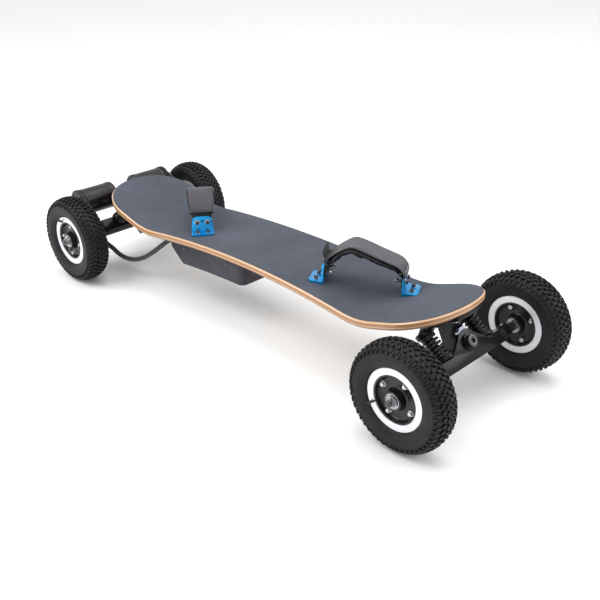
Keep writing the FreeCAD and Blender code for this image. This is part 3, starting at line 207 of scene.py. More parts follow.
def deck_edge():
    """Ply bands from the depth that the UV's second axis holds, with grain along the edge."""
    p = Paint("deck_edge", (0.62, 0.42, 0.25), 0.38, Coat_Weight=0.45, Coat_Roughness=0.16)
    split = p.add("SeparateXYZ", {"Vector": p.place(uv=True)})
    depth = p.maths("DIVIDE", split.outputs[1], 14 * MM)
    wobble = p.range(p.noise(30, 3, at=p.place((6, 6, 6), uv=True)), -0.012, 0.012)
    depth = p.maths("ADD", depth, wobble)
    cream, straw = (0.60, 0.385, 0.225), (0.44, 0.225, 0.098)
    orange, brown = (0.36, 0.155, 0.057), (0.19, 0.082, 0.035)
    bands = (
        (0.0, cream), (0.17, cream), (0.185, straw), (0.315, straw), (0.33, orange), (0.45, orange),
        (0.465, straw), (0.60, straw), (0.615, cream), (0.74, cream), (0.755, brown), (0.87, brown),
        (0.885, straw), (1.0, straw),
    )
    plies = p.ramp(depth, *bands)
    grain = p.noise(110, 6, 0.62, at=p.place((1, 22, 22), uv=True))
    pores = p.noise(900, 3, 0.6, at=p.place((1.2, 5, 5), uv=True))
    streaks = p.range(p.mix(grain, 0.7, pores), 0.68, 1.22, 0.3, 0.7)
    p.base(p.blend(1.0, plies, streaks, blend_type="MULTIPLY"))
    p.rough(p.range(pores, 0.3, 0.5))
    p.bump(p.maths("ADD", grain, pores), 0.00012, 0.35)
    return p.material


def deck_veneer():
    p = Paint("deck_veneer", (0.62, 0.42, 0.24), 0.33, Coat_Weight=0.5, Coat_Roughness=0.12)
    figure = p.noise(9, 5, 0.6, at=p.place((1, 14, 1)))
    fine = p.noise(120, 5, 0.65, at=p.place((1, 18, 1)))
    tones = (0.32, (0.26, 0.19, 0.13)), (0.52, (0.36, 0.28, 0.20)), (0.72, (0.44, 0.36, 0.27))
    p.base(p.ramp(p.mix(figure, 0.6, fine), *tones))
    p.rough(p.range(fine, 0.26, 0.42))
    p.bump(fine, 0.00006, 0.35)
    return p.material


def grip_grit():
    p = Paint("grip_grit", (0.062, 0.070, 0.090), 0.88, Specular_IOR_Level=0.3)
    grit = p.noise(2100, 2, 0.7)
    cells = p.cells(1500)
    patch = p.mix(p.noise(9, 4), 0.45, p.noise(420, 3, 0.75))
    tint = p.ramp(patch, (0.36, (0.036, 0.042, 0.058)), (0.64, (0.080, 0.089, 0.116)))
    p.base(p.blend(p.range(grit, 0.0, 0.55, 0.45, 0.75), tint, (0.135, 0.148, 0.17)))
    p.rough(p.range(grit, 0.78, 0.95))
    under = p.bump(cells, 0.0004, 0.55)
    p.bump(grit, 0.0003, 0.5, under)
    return p.material


def box_plastic():
    p = Paint("box_plastic", (0.026, 0.023, 0.034), 0.42, Specular_IOR_Level=0.35)
    p.shade(p.noise(30, 3), (0.85, 1.2))
    p.rough(p.range(p.noise(240, 4), 0.36, 0.52))
    p.bump(p.cells(1300), 0.00025, 0.35)
    return p.material


def weave(name, colour, thread=1.15, sheen=0.25, gloss=0.8):
    """Plain weave from the UV, thread size in mm."""
    p = Paint(name, colour, gloss, Sheen_Weight=sheen, Sheen_Roughness=0.5)
    at = p.place(uv=True)
    scale = 314.0 / thread
    warp = p.waves(scale, "X", at)
    weft = p.waves(scale, "Y", at)
    cloth = p.maths("MULTIPLY", warp, weft)
    slub = p.noise(500, 4, at=at)
    fuzz = p.noise(60, 4)
    tone = p.mix(cloth, 0.45, fuzz)
    low, high = ([c * share for c in colour] for share in (0.62, 1.4))
    p.base(p.ramp(tone, (0.2, low), (0.75, high)))
    under = p.bump(cloth, 0.0003, 0.7)
    p.bump(slub, 0.0002, 0.4, under)
    return p.material


def pad_vinyl():
    """Black coated fabric: fine leather-like grain with soft creases."""
    p = Paint("pad_vinyl", (0.005, 0.005, 0.006), 0.38, Specular_IOR_Level=0.35)
    creases = p.noise(85, 6, 0.62)
    grain = p.cells(1500)
    p.shade(creases, (0.75, 1.5))
    p.rough(p.range(creases, 0.28, 0.5))
    under = p.bump(creases, 0.0011, 0.5)
    p.bump(grain, 0.00012, 0.35, under)
    return p.material


def hook_pile():
    p = Paint("hook_pile", (0.009, 0.009, 0.011), 0.9, Sheen_Weight=0.15, Sheen_Roughness=0.4)
    loops = p.cells(1100)
    p.shade(p.noise(300, 3), (0.6, 1.6))
    p.bump(loops, 0.0006, 0.8)
    return p.material


def braid():
    """Braided sleeve: two crossed sets of strands from the tube's UV."""
    p = Paint("braid", (0.012, 0.012, 0.013), 0.55, Sheen_Weight=0.2)
    split = p.add("SeparateXYZ", {"Vector": p.place(uv=True)})
    length = p.maths("MULTIPLY", split.outputs[0], 2600)
    turn = p.maths("MULTIPLY", split.outputs[1], 2 * pi * 8)
    one = p.maths("SINE", p.maths("ADD", length, turn))
    two = p.maths("SINE", p.maths("SUBTRACT", length, turn))
    knit = p.maths("MAXIMUM", one, two)
    p.base(p.ramp(p.range(knit, 0, 1, -1, 1), (0.2, (0.005, 0.005, 0.006)), (0.9, (0.026, 0.026, 0.029))))
    p.bump(knit, 0.0004, 0.6)
    return p.material


def coat(name, colour, roughness, mottle, gloss, grain, **sockets):
    """A plain finish from noises: (scale, detail, low, high) for colour and roughness, and
    (scale, detail, depth in metres, strength) for the bump."""
    p = Paint(name, colour, roughness, **sockets)
    scale, detail, low, high = mottle
    p.shade(p.noise(scale, detail), (low, high))
    if gloss:
        scale, detail, low, high = gloss
        p.rough(p.range(p.noise(scale, detail), low, high))
    scale, detail, depth, strength = grain
    p.bump(p.noise(scale, detail), depth, strength)
    return p.material


METAL_GRAIN = (1500, 2, 0.00003, 0.4)
PLASTIC = {"mottle": (80, 3, 0.85, 1.25), "gloss": None, "grain": (500, 3, 0.00003, 0.3)}
PLASTIC |= {"roughness": 0.14, "Coat_Weight": 0.4, "Coat_Roughness": 0.08}
PAINTS = {
    "tyre": tyre_rubber(), "tube": tube_rubber(), "steel": machined_steel(), "belt": belt_rubber(),
    "edge": deck_edge(), "veneer": deck_veneer(), "grip": grip_grit(), "box": box_plastic(),
    "vinyl": pad_vinyl(), "hooks": hook_pile(), "braid": braid(),
    "webbing": weave("black_webbing", (0.008, 0.008, 0.010), 1.3, 0.1),
    "cover": weave("grey_cover", (0.060, 0.056, 0.068), 0.9, 0.2, 0.86),
    "button": coat("button_plastic", (0.028, 0.02, 0.045), **PLASTIC),
    "trim": coat("black_trim", (0.008, 0.008, 0.009), **PLASTIC),
    "ring": coat(
        "ring_metal", (0.80, 0.81, 0.84), 0.34, (90, 4, 0.93, 1.03), (900, 2, 0.27, 0.40),
        (1400, 2, 0.00006, 0.35), Metallic=0.55),
    "seat": coat(
        "seat_metal", (0.30, 0.34, 0.42), 0.16, (160, 3, 0.7, 1.3), (300, 3, 0.1, 0.24),
        (500, 2, 0.00006, 0.3), Metallic=0.85, Coat_Weight=0.5, Coat_Roughness=0.06),
    "hub": coat(
        "hub_paint", (0.005, 0.005, 0.006), 0.16, (50, 3, 0.8, 1.25), (140, 4, 0.17, 0.33),
        (700, 3, 0.00008, 0.4), Specular_IOR_Level=0.45),
    "zinc": coat(
        "zinc_plate", (0.66, 0.66, 0.67), 0.24, (260, 3, 0.82, 1.08), (500, 3, 0.16, 0.34), METAL_GRAIN,
        Metallic=1.0),
    "oxide": coat(
        "black_oxide", (0.085, 0.084, 0.090), 0.33, (300, 3, 0.7, 1.5), (500, 3, 0.28, 0.46), METAL_GRAIN,
        Metallic=0.95),
    "nut": coat(
        "nut_steel", (0.46, 0.46, 0.48), 0.22, (260, 3, 0.7, 1.15), (500, 3, 0.14, 0.3), METAL_GRAIN,
        Metallic=1.0),
    "truck": coat(
        "truck_paint", (0.005, 0.005, 0.006), 0.22, (35, 4, 0.8, 1.35), (120, 4, 0.17, 0.28),
        (420, 3, 0.00006, 0.3), Specular_IOR_Level=0.24),
    "spring": coat(
        "spring_paint", (0.007, 0.007, 0.008), 0.24, (120, 4, 0.7, 1.5), None, (1000, 3, 0.00008, 0.4),
        Specular_IOR_Level=0.4),
    "motor": coat(
        "motor_paint", (0.006, 0.005, 0.006), 0.32, (45, 3, 0.85, 1.3), (300, 3, 0.26, 0.38),
        (900, 2, 0.00004, 0.3), Specular_IOR_Level=0.4),
    "pulley": coat(
        "pulley_metal", (0.045, 0.045, 0.05), 0.38, (150, 3, 0.8, 1.3), (900, 2, 0.3, 0.46),
        (1300, 2, 0.00004, 0.4), Metallic=0.85),
    "wrap": coat(
        "shrink_wrap", (0.02, 0.10, 0.32), 0.28, (40, 4, 0.8, 1.2), None, (70, 4, 0.0004, 0.4),
        Coat_Weight=0.3),
    "socket": coat(
        "socket_metal", (0.45, 0.36, 0.2), 0.25, (300, 3, 0.8, 1.1), None, (1200, 2, 0.00003, 0.3),
        Metallic=1.0),
    "blue": coat(
        "blue_anodised", (0.004, 0.30, 0.66), 0.27, (120, 4, 0.85, 1.12), (700, 3, 0.22, 0.36),
        (1500, 2, 0.00005, 0.35), Metallic=0.75, Coat_Weight=0.3, Coat_Roughness=0.1),
    "thread": coat(
        "thread", (0.05, 0.05, 0.055), 0.6, (900, 3, 0.7, 1.4), None, (2500, 3, 0.00005, 0.5),
        Sheen_Weight=0.3),
    "floor": coat("floor_paint", (0.90, 0.90, 0.90), 0.75, (3, 3, 0.995, 1.005), None, (40, 4, 0.0002, 0.1)),
}

# ---------------------------------------------------------------- mesh building


class Soup:
    """Vertices in millimetres, faces, UVs and material numbers gathered from several shapes."""

    def __init__(self):
        self.vertices, self.faces, self.uvs, self.slots = [], [], [], []

    def add(self, shape, matrix=None, slot=0):
        vertices, faces = shape[0], shape[1]
        base = len(self.vertices)
        self.vertices += [matrix @ Vector(v) if matrix else Vector(v) for v in vertices]
        self.faces += [[base + index for index in face] for face in faces]
        self.uvs += shape[2] if len(shape) > 2 else [[(0, 0)] * len(face) for face in faces]
        self.slots += [slot] * len(faces)
        return self

    def build(self, name, body, paints, slot, replaces=(), matrix=None, sharp=35):
        mesh = bpy.data.meshes.new(name)
        mesh.from_pydata([v * MM for v in self.vertices], [], self.faces)
        layer = mesh.uv_layers.new(name="UVMap")
        for polygon, uv, number in zip(mesh.polygons, self.uvs, self.slots):
            polygon.material_index = number
            for loop, place in zip(polygon.loop_indices, uv):
                layer.data[loop].uv = place
        weld(mesh)
        smooth(mesh, sharp)
        return settle(name, mesh, body, paints, replaces, matrix)


def weld(mesh):
    work = bmesh.new()
    work.from_mesh(mesh)
    bmesh.ops.remove_doubles(work, verts=work.verts, dist=1e-6)
    bmesh.ops.recalc_face_normals(work, faces=work.faces)
    work.to_mesh(mesh)
    work.free()


def smooth(mesh, sharp):
    mesh.shade_smooth()
    mesh.set_sharp_from_angle(angle=radians(sharp))


def new_object(name, mesh, matrix=None):
    obj = bpy.data.objects.new(name, mesh)
    bpy.context.scene.collection.objects.link(obj)
    if matrix is not None:
        obj.matrix_world = matrix
    return obj


def settle(name, mesh, body, paints, replaces=(), matrix=None):
    """A finished mesh becomes a piece: painted, riding on its body, standing for CAD nodes."""
    if not mesh.materials:
        for paint in [paints] if isinstance(paints, str) else paints:
            mesh.materials.append(PAINTS[paint])
    obj = new_object(name, mesh, matrix)
    if body:
        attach(obj, body)
    if replaces:
        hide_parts(*replaces)
    return obj


def shift(x, y, z):
    return Matrix.Translation((x, y, z))


def spin(degrees, axis):
    return Matrix.Rotation(radians(degrees), 4, axis)


def at(x, y, z, axis=Z):
    """Matrix in mm that takes +Z to an axis and the origin to a place."""
    return shift(x, y, z) @ Z.rotation_difference(axis).to_matrix().to_4x4()


def rings(rows, closed_ends=True):
    """Faces over rows of equally many points; the first and last row are capped."""
    count = len(rows[0])
    vertices = [point for row in rows for point in row]
    faces, uvs = [], []
    lengths = [0.0]
    for before, after in zip(rows, rows[1:]):
        lengths.append(lengths[-1] + (Vector(after[0]) - Vector(before[0])).length)
    for r in range(len(rows) - 1):
        for c in range(count):
            d = (c + 1) % count
            faces.append([r * count + c, r * count + d, (r + 1) * count + d, (r + 1) * count + c])
            u, v = lengths[r] * MM, lengths[r + 1] * MM
            left, right = c / count, (c + 1) / count
            uvs.append([(u, left), (u, right), (v, right), (v, left)])
    if closed_ends:
        for start in (0, (len(rows) - 1) * count):
            faces.append([start + c for c in range(count)])
            uvs.append([(0, 0)] * count)
    return vertices, faces, uvs


def circle(radius, height, count):
    step = 2 * pi / count
    return [(radius * cos(step * i), radius * sin(step * i), height) for i in range(count)]


def lathe(profile, count=64, loop=False):
    """Profile of (radius, height) turned about +Z; a loop profile closes on itself."""
    rows = [circle(max(radius, 0.001), height, count) for radius, height in profile]
    if loop:
        rows.append(rows[0])
    return rings(rows, not loop)


def eased(profile, radius, steps=3, loop=True):
    """The profile with its corners rounded."""
    result = []
    count = len(profile)
    for index, point in enumerate(profile):
        here = Vector(point)
        if not loop and index in (0, count - 1):
            result.append(here)
            continue
        before, after = Vector(profile[index - 1]), Vector(profile[(index + 1) % count])
        cut = min(radius, (before - here).length * 0.45, (after - here).length * 0.45)
        start = here + (before - here).normalized() * cut
        end = here + (after - here).normalized() * cut
        for step in range(steps + 1):
            t = step / steps
            result.append(start * (1 - t) ** 2 + here * 2 * t * (1 - t) + end * t * t)
    return [(p.x, p.y) for p in result]


def hex_row(radius, height, limit):
    row = []
    for i in range(48):
        angle = 2 * pi * i / 48
        inside = (angle % (pi / 3)) - pi / 6
        reach = min(radius * cos(pi / 6) / cos(inside), limit)
        row.append((reach * cos(angle), reach * sin(angle), height))
    return row


def hex_nut(radius, height, bore, nylon=0):
    """Chamfered nut about +Z, its bore through, with a round nylon collar if asked."""
    rows = [
        circle(bore, 0, 48),
        hex_row(radius, 0, radius * 0.9),
        hex_row(radius, height * 0.1, radius),
        hex_row(radius, height * 0.88, radius),
        hex_row(radius, height, radius * 0.9),
    ]
    if nylon:
        rows.append(circle(radius * 0.8, height, 48))
        rows.append(circle(radius * 0.78, height + nylon, 48))
    rows.append(circle(bore + 0.4, height + nylon, 48))
    rows.append(circle(bore, height + nylon - 0.4, 48))
    rows.append(rows[0])
    return rings(rows, False)


def socket_head(radius, height, socket):
    """Cap screw head about +Z with a hexagonal recess."""
    rows = [
        circle(radius - 0.3, 0, 48),
        circle(radius, 0.3, 48),
        circle(radius, height - 0.6, 48),
        circle(radius - 0.5, height, 48),
        circle(socket * 1.08, height, 48),
        hex_row(socket, height - 0.4, socket),
        hex_row(socket, height * 0.35, socket),
        circle(0.01, height * 0.25, 48),
    ]
    return rings(rows)


def threaded(radius, start, end, pitch=1.0):
    """Thread crests on a rod about +Z, with a chamfered end."""
    profile = [(0.001, start), (radius - 0.3, start)]
    height = start
    while height + pitch < end - 0.8:
        profile += [(radius, height + pitch * 0.45), (radius, height + pitch * 0.6)]
        profile.append((radius - 0.45, height + pitch))
        height += pitch
    profile += [(radius - 0.2, end - 0.7), (radius - 0.9, end), (0.001, end)]
    return lathe(profile, 32)


def tube(points, radius, count=16):
    """Round tube along points with a frame that doesn't twist."""
    rows = []
    side = None
    for index, point in enumerate(points):
        before, after = points[max(index - 1, 0)], points[min(index + 1, len(points) - 1)]
        along = (after - before).normalized()
        if side is None:
            side = along.orthogonal().normalized()
        side = (side - along * side.dot(along)).normalized()
        other = along.cross(side)
        size = radius[index] if isinstance(radius, list) else radius
        step = 2 * pi / count
        rows.append([point + (side * cos(step * i) + other * sin(step * i)) * size for i in range(count)])
    return rings(rows)


def softened(node, paint, width=0.5, sharp=30, segments=2):
    """A CAD node's own shape with rounded edges, in its place."""
    source = frame["nodes"][node]
    mesh = source.data.copy()
    mesh.materials.clear()
    work = bmesh.new()
    work.from_mesh(mesh)
    bmesh.ops.remove_doubles(work, verts=work.verts, dist=2e-6)
    bmesh.ops.dissolve_limit(
        work, angle_limit=radians(1.0), verts=work.verts, edges=work.edges, delimit={"NORMAL"}
    )
    work.to_mesh(mesh)
    work.free()
    obj = settle(node + "_body", mesh, source["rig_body"], paint, [node])
    bevel = obj.modifiers.new("bevel", "BEVEL")
    bevel.width, bevel.segments = width * MM, segments
    bevel.limit_method = "ANGLE"
    bevel.angle_limit = radians(sharp)
    bevel.harden_normals = False
    dg = bpy.context.evaluated_depsgraph_get()
    final = bpy.data.meshes.new_from_object(obj.evaluated_get(dg))
    obj.modifiers.clear()
    final.materials.clear()
    final.materials.append(PAINTS[paint])
    obj.data = final
    smooth(final, 32)
    return obj


# ---------------------------------------------------------------- stage, camera, light


def camera():
    azimuth, elevation, roll = radians(45.47), radians(26.79), -0.018
    level = cos(elevation)
    back = Vector((sin(azimuth) * level, -cos(azimuth) * level, sin(elevation)))
    right = Vector((cos(azimuth), sin(azimuth), 0))
    up = back.cross(right)
    side = right * cos(roll) + up * sin(roll)
    rise = up * cos(roll) - right * sin(roll)
    data = bpy.data.cameras.new("camera")
    data.lens, data.sensor_width = 51.5, 36
    data.clip_end = 100
    obj = new_object("camera", data, Matrix((side, rise, back)).transposed().to_4x4())
    obj.location = (1.2030, -1.1088, 0.8660)
    bpy.context.scene.camera = obj


def light(name, place, target, size, power):
    data = bpy.data.lights.new(name, "AREA")
    data.shape, data.size, data.size_y = "RECTANGLE", size[0], size[1]
    data.energy = power
    obj = new_object(name, data)
    obj.location = place
    obj.rotation_euler = (Vector(place) - Vector(target)).to_track_quat("Z", "Y").to_euler()


def studio():
    world = bpy.data.worlds.new("studio")
    bpy.context.scene.world = world
    world.use_nodes = True
    sky = world.node_tree.nodes["Background"].inputs
    sky[0].default_value, sky[1].default_value = (1, 1, 1, 1), 0.95
    light("key", (-0.9, -1.6, 2.4), (0, 0, 0.1), (2.2, 1.6), 44)
    light("top", (0.2, 0.6, 2.8), (0, 0, 0.1), (2.6, 2.0), 36)
    light("rim", (1.9, 1.7, 1.5), (0.2, 0, 0.1), (1.4, 1.2), 16)
    floor = bpy.data.meshes.new("floor")
    floor.from_pydata([(-30, -30, 0), (30, -30, 0), (30, 30, 0), (-30, 30, 0)], [], [(0, 1, 2, 3)])
    floor.materials.append(PAINTS["floor"])
    new_object("floor", floor)
    bpy.context.scene.view_settings.view_transform = "Standard"


camera()
studio()

# ---------------------------------------------------------------- motor lead

LEAD = (
    (-543.0, -100.0, 122.2),
    (-544.0, -100.0, 94.0),
    (-527.0, -99.0, 70.0),
    (-497.0, -97.0, 64.0),
    (-468.0, -94.0, 56.0),
    (-444.0, -89.0, 40.0),
    (-411.0, -82.0, 37.0),
    (-375.0, -74.0, 48.0),
    (-339.0, -66.0, 73.0),
    (-303.0, -58.0, 103.0),
    (-275.0, -52.0, 124.0),
    (-249.0, -50.0, 131.0),
)
LEAD_RADIUS, LEAD_LENGTH = 5.5, 0.3708
BOOT_LENGTH, BOOT_STEPS = 22, 24


def motor_lead():
    """Sleeved lead from the right motor's gland to the box, along a fixed path; its boots ride on the rear
    truck and on the deck.
    """
    curve = bpy.data.curves.new("lead_line", "CURVE")
    curve.dimensions = "3D"
    curve.resolution_u = 14
    spline = curve.splines.new("NURBS")
    spline.points.add(len(LEAD) - 1)
    for point, place in zip(spline.points, LEAD):
        point.co = (*(c * MM for c in place), 1)
    spline.use_endpoint_u = True
    spline.order_u = 3
    line = new_object("lead_line", curve)
    bare = bpy.data.meshes.new_from_object(line)
    path = [v.co.copy() for v in bare.vertices]
    bpy.data.objects.remove(line)
    points = [p / MM for p in path]
    obj = Soup().add(tube(points, LEAD_RADIUS, 24)).build("lead", None, "braid", "lead", ["motor_lead"])
    for name, body, route in (("motor", "rear_hanger", points), ("box", "deck", points[::-1])):
        distance, kept = 0.0, [route[0]]
        for before, after in zip(route, route[1:]):
            distance += (after - before).length
            if distance > BOOT_LENGTH:
                break
            kept.append(after)
        steps = range(BOOT_STEPS + 1)
        dense = [along(kept, i / BOOT_STEPS) for i in steps]
        radii = [8.0 - 1.9 * i / BOOT_STEPS + (0.45 if i // 2 % 2 else 0.0) for i in steps]
        Soup().add(tube(dense, radii, 28)).build(f"lead_boot_{name}", body, "trim", "lead")
    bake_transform(obj)


def heading(line, index):
    """Direction of a path at one of its points."""
    return (line[min(index + 1, len(line) - 1)] - line[max(index - 1, 0)]).normalized()


def along(points, share):
    """A point at a share of a path's length."""
    lengths = [(b - a).length for a, b in zip(points, points[1:])]
    left = share * sum(lengths)
    for a, b, length in zip(points, points[1:], lengths):
        if left <= length or b is points[-1]:
            return a.lerp(b, min(left / length, 1.0))
        left -= length
    return points[-1]


motor_lead()

# ---------------------------------------------------------------- tyres

SIDEWALL = (
    (57.1, 17.6), (57.4, 20.6), (59.4, 22.6), (60.4, 23.4), (61.4, 23.6), (66.0, 25.7), (72.0, 27.1),
    (78.0, 27.3), (81.2, 27.0), (82.0, 27.4), (83.2, 27.1), (84.0, 26.3), (87.6, 24.2), (90.6, 20.8),
    (93.0, 15.4), (94.6, 8.5), (95.2, 0.0),
)
PITCHES = 50
VENT_HAIRS, HAIR_RADIUS, HAIR_OFFSET = 120, 99.6, 32.0
# Each tread block: place round the tyre, its outline as (round, across), height.
TREAD = (
    (0.0, ((-3.9, 8.3), (0.2, 0.9), (4.6, 0.9), (1.6, 8.3)), 4.5),
    (6.28, ((-3.9, -8.3), (0.2, -0.9), (4.6, -0.9), (1.6, -8.3)), 4.5),
    (4.6, ((-4.1, 16.4), (-1.0, 9.6), (4.2, 9.6), (2.9, 16.4)), 4.3),
    (10.9, ((-4.1, -16.4), (-1.0, -9.6), (4.2, -9.6), (2.9, -16.4)), 4.3),
    (1.6, ((-3.5, 25.6), (-4.0, 18.0), (2.6, 18.0), (3.2, 25.6)), 3.7),
    (7.9, ((-3.5, -25.6), (-4.0, -18.0), (2.6, -18.0), (3.2, -25.6)), 3.7),
    (7.9, ((-2.2, 30.5), (-2.5, 20.5), (2.0, 20.5), (2.4, 30.5)), 3.0),
    (1.6, ((-2.2, -30.5), (-2.5, -20.5), (2.0, -20.5), (2.4, -30.5)), 3.0),
)


def crown_table():
    """Places across the tread: distance from the middle, radius, offset, outward direction."""
    points = [Vector(p) for p in SIDEWALL[::-1]]
    mirror = [Vector((p.x, -p.y)) for p in points[1:]]
    line = mirror[::-1] + points
    middle = len(mirror)
    table = []
    for index, point in enumerate(line):
        step = heading(line, index)
        table.append([0.0, point, Vector((step.y, -step.x))])
    for index in range(middle + 1, len(line)):
        table[index][0] = table[index - 1][0] + (line[index] - line[index - 1]).length
    for index in range(middle - 1, -1, -1):
        table[index][0] = table[index + 1][0] - (line[index] - line[index + 1]).length
    return table


CROWN = crown_table()


def tread_point(around, across, height):
    """A point of the tread: mm round the crown, mm across it, mm above the carcass."""
    for (low, a, na), (high, b, nb) in zip(CROWN, CROWN[1:]):
        if across <= high:
            break
    t = (across - low) / (high - low)
    place, out = a.lerp(b, t), na.lerp(nb, t).normalized()
    if out.x < 0 and abs(across) < 10:
        out = -out
    radius, offset = place.x + out.x * height, place.y + out.y * height
    angle = around / 100.0
    return (radius * cos(angle), radius * sin(angle), offset)


def tread_block(shift, outline, height, turn):
    centre = Vector((sum(a for a, _ in outline) / 4, sum(s for _, s in outline) / 4))
    rows = []
    for share, level in ((1.06, -0.8), (1.0, height * 0.55), (0.95, height - 0.55), (0.84, height)):
        row = []
        for a, s in rounded_outline(outline):
            spot = centre + (Vector((a, s)) - centre) * share
            row.append(tread_point(turn + shift + spot.x, spot.y, level))
        rows.append(row)
    return rings(rows)


def rounded_outline(outline, cut=0.22):
    """Each corner of a block becomes two points."""
    result = []
    count = len(outline)
    for index in range(count):
        here = Vector(outline[index])
        before, after = Vector(outline[index - 1]), Vector(outline[(index + 1) % count])
        result += [here.lerp(before, cut), here.lerp(after, cut)]
    return result


def tyre_mesh():
    soup = Soup()
    profile = [*SIDEWALL, *[(r, -o) for r, o in SIDEWALL[-2::-1]]]
    inner = [(r - 3.6 if r > 90 else r - 1, o * 0.86) for r, o in SIDEWALL[1:]]
    hollow = inner + [(r, -o) for r, o in inner[-2::-1]]
    soup.add(lathe(profile + hollow[::-1], 200, True))
    pitch = 200 * pi / PITCHES
    for index in range(PITCHES):
        for shift, outline, height in TREAD:
            soup.add(tread_block(shift, outline, height, pitch * index))
    draw = random.Random(11)
    for _ in range(VENT_HAIRS):
        side = draw.choice((-1, 1))
        around, across = draw.uniform(0, 628.3), side * draw.uniform(29.0, 35.0)
        root = Vector(tread_point(around, across, -0.4))
        tip = tread_point(around + draw.uniform(-2.5, 2.5), across - side * 0.6, draw.uniform(5.0, 8.0))
        tip = Vector(tip)
        if hypot(tip.x, tip.y) > HAIR_RADIUS or abs(tip.z) > HAIR_OFFSET:
            continue
        soup.add(tube([root, root.lerp(tip, 0.6) + Vector((0.1, 0.1, 0)), tip], [0.42, 0.36, 0.2], 5))
    return soup


BOLT_CIRCLE = 33


def hub_face(radius, angle):
    """Height of the hub's outer face."""
    web = 10.6 - 0.5 * cos((radius - 28) / 9 * pi / 2)
    if radius < 14.8:
        return 23.2 + (radius - 14.0)
    if radius < 17.2:
        return 24.0
    if radius < 19.4:
        return 24.0 - 12.0 * ((radius - 17.2) / 2.2) ** 0.8
    if radius > 36.5:
        t = min((radius - 36.5) / 4.4, 1.0)
        web += (18.2 - web) * (1 - cos(t * pi / 2))
    elif radius < 22.5:
        t = (22.5 - radius) / 3.1
        web += 1.4 * t * t
    for index in range(4):
        corner = radians(90 * index)
        dx = radius * cos(angle) - BOLT_CIRCLE * cos(corner)
        dy = radius * sin(angle) - BOLT_CIRCLE * sin(corner)
        boss = min(max((7.4 - hypot(dx, dy)) / 1.2, 0.0), 1.0)
        web += (11.0 - web) * boss * boss * (3 - 2 * boss)
    return web


def hub_mesh():
    """Closed dished hub: both faces from one height, joined by the bore and the rim."""
    radii = [14.0, 14.4, 14.8, 15.6, 16.6, 17.2, 17.5, 17.9, 18.4, 18.9, 19.4, 20.2, 21, 22]
    radii += [22.5 + 0.7 * i for i in range(20)]
    radii += [36.5 + 0.5 * i for i in range(10)]
    radii += [41.8, 42.8, 43.3, 43.65]
    count = 192
    rows = []
    for sign, order in ((1, radii), (-1, radii[::-1])):
        for radius in order:
            row = []
            for i in range(count):
                angle = 2 * pi * i / count
                height = hub_face(radius, angle) - max(0.0, radius - 43.0) * 0.6
                row.append((radius * cos(angle), radius * sin(angle), height * sign))
            rows.append(row)
    rows.append(rows[0])
    return rings(rows, False)


def both_sides(profile, count):
    """The turned profile and its mirror image across the wheel's middle plane."""
    soup = Soup()
    for sign in (1, -1):
        soup.add(lathe([(r, h * sign) for r, h in profile], count, True))
    return soup


def ring_mesh():
    """Both rim rings: flange with a rolled lip and the barrel under the bead."""
    profile = [
        (43.8, 0.2), (46.4, 0.2), (46.5, 17.2), (56.7, 17.2), (56.7, 19.5), (55.6, 20.0), (46.3, 20.0),
        (44.6, 20.0), (43.8, 19.0),
    ]
    return both_sides(eased(profile, 0.5, 3), 144)


def bearing_mesh():
    profile = [
        (6.1, 16.2), (13.9, 16.2), (13.9, 24.0), (12.0, 24.0), (11.7, 23.3), (8.3, 23.3), (8.0, 24.0),
        (6.1, 24.0),
    ]
    return both_sides(eased(profile, 0.25, 2), 64)


def valve_mesh():
    """Bent valve stem with its cap, through the gap between hub and ring."""
    soup = Soup()
    bend = [Vector((x, 0, z)) for x, z in ((45.2, 9), (45.6, 15), (46.6, 19.5), (48.4, 23.0), (50.6, 25.4))]
    line = [along(bend, i / 14) for i in range(15)]
    soup.add(tube(line, [3.1 - 0.05 * i for i in range(15)], 16))
    axis = (bend[-1] - bend[-2]).normalized()
    cap = [(0.001, -2), (2.9, -2), (3.1, -1.4), (3.1, 2.6), (2.3, 3.4), (0.001, 3.6)]
    soup.add(lathe(cap, 20), at(*bend[-1], axis))
    return soup


def bolts_mesh(phase):
    """Four hub bolts: washer, nut and thread outboard, head inboard."""
    soup = Soup()
    for index in range(4):
        angle = radians(90 * index)
        x, y = BOLT_CIRCLE * cos(angle), BOLT_CIRCLE * sin(angle)
        place = at(x, y, 11.05)
        washer = eased([(2.6, 0), (5.2, 0), (5.2, 0.9), (2.6, 0.9)], 0.2, 2)
        soup.add(lathe(washer, 32, True), place)
        turned = place @ Matrix.Rotation(index * 0.4 + phase, 4, "Z")
        soup.add(hex_nut(4.3, 3.4, 2.3, 0.8), turned @ shift(0, 0, 0.9))
        soup.add(threaded(2.5, -20, 6.2, 0.8), place)
        soup.add(socket_head(4.25, 3.9, 1.9), at(x, y, -11.05, -Z))
    return soup


# How far each wheel has rolled, and where its valve is, in degrees.
PHASES = {"front_left": 28, "front_right": -28, "rear_left": 4, "rear_right": -4}
VALVES = {"front_left": 75, "front_right": -155, "rear_left": -40, "rear_right": 118}


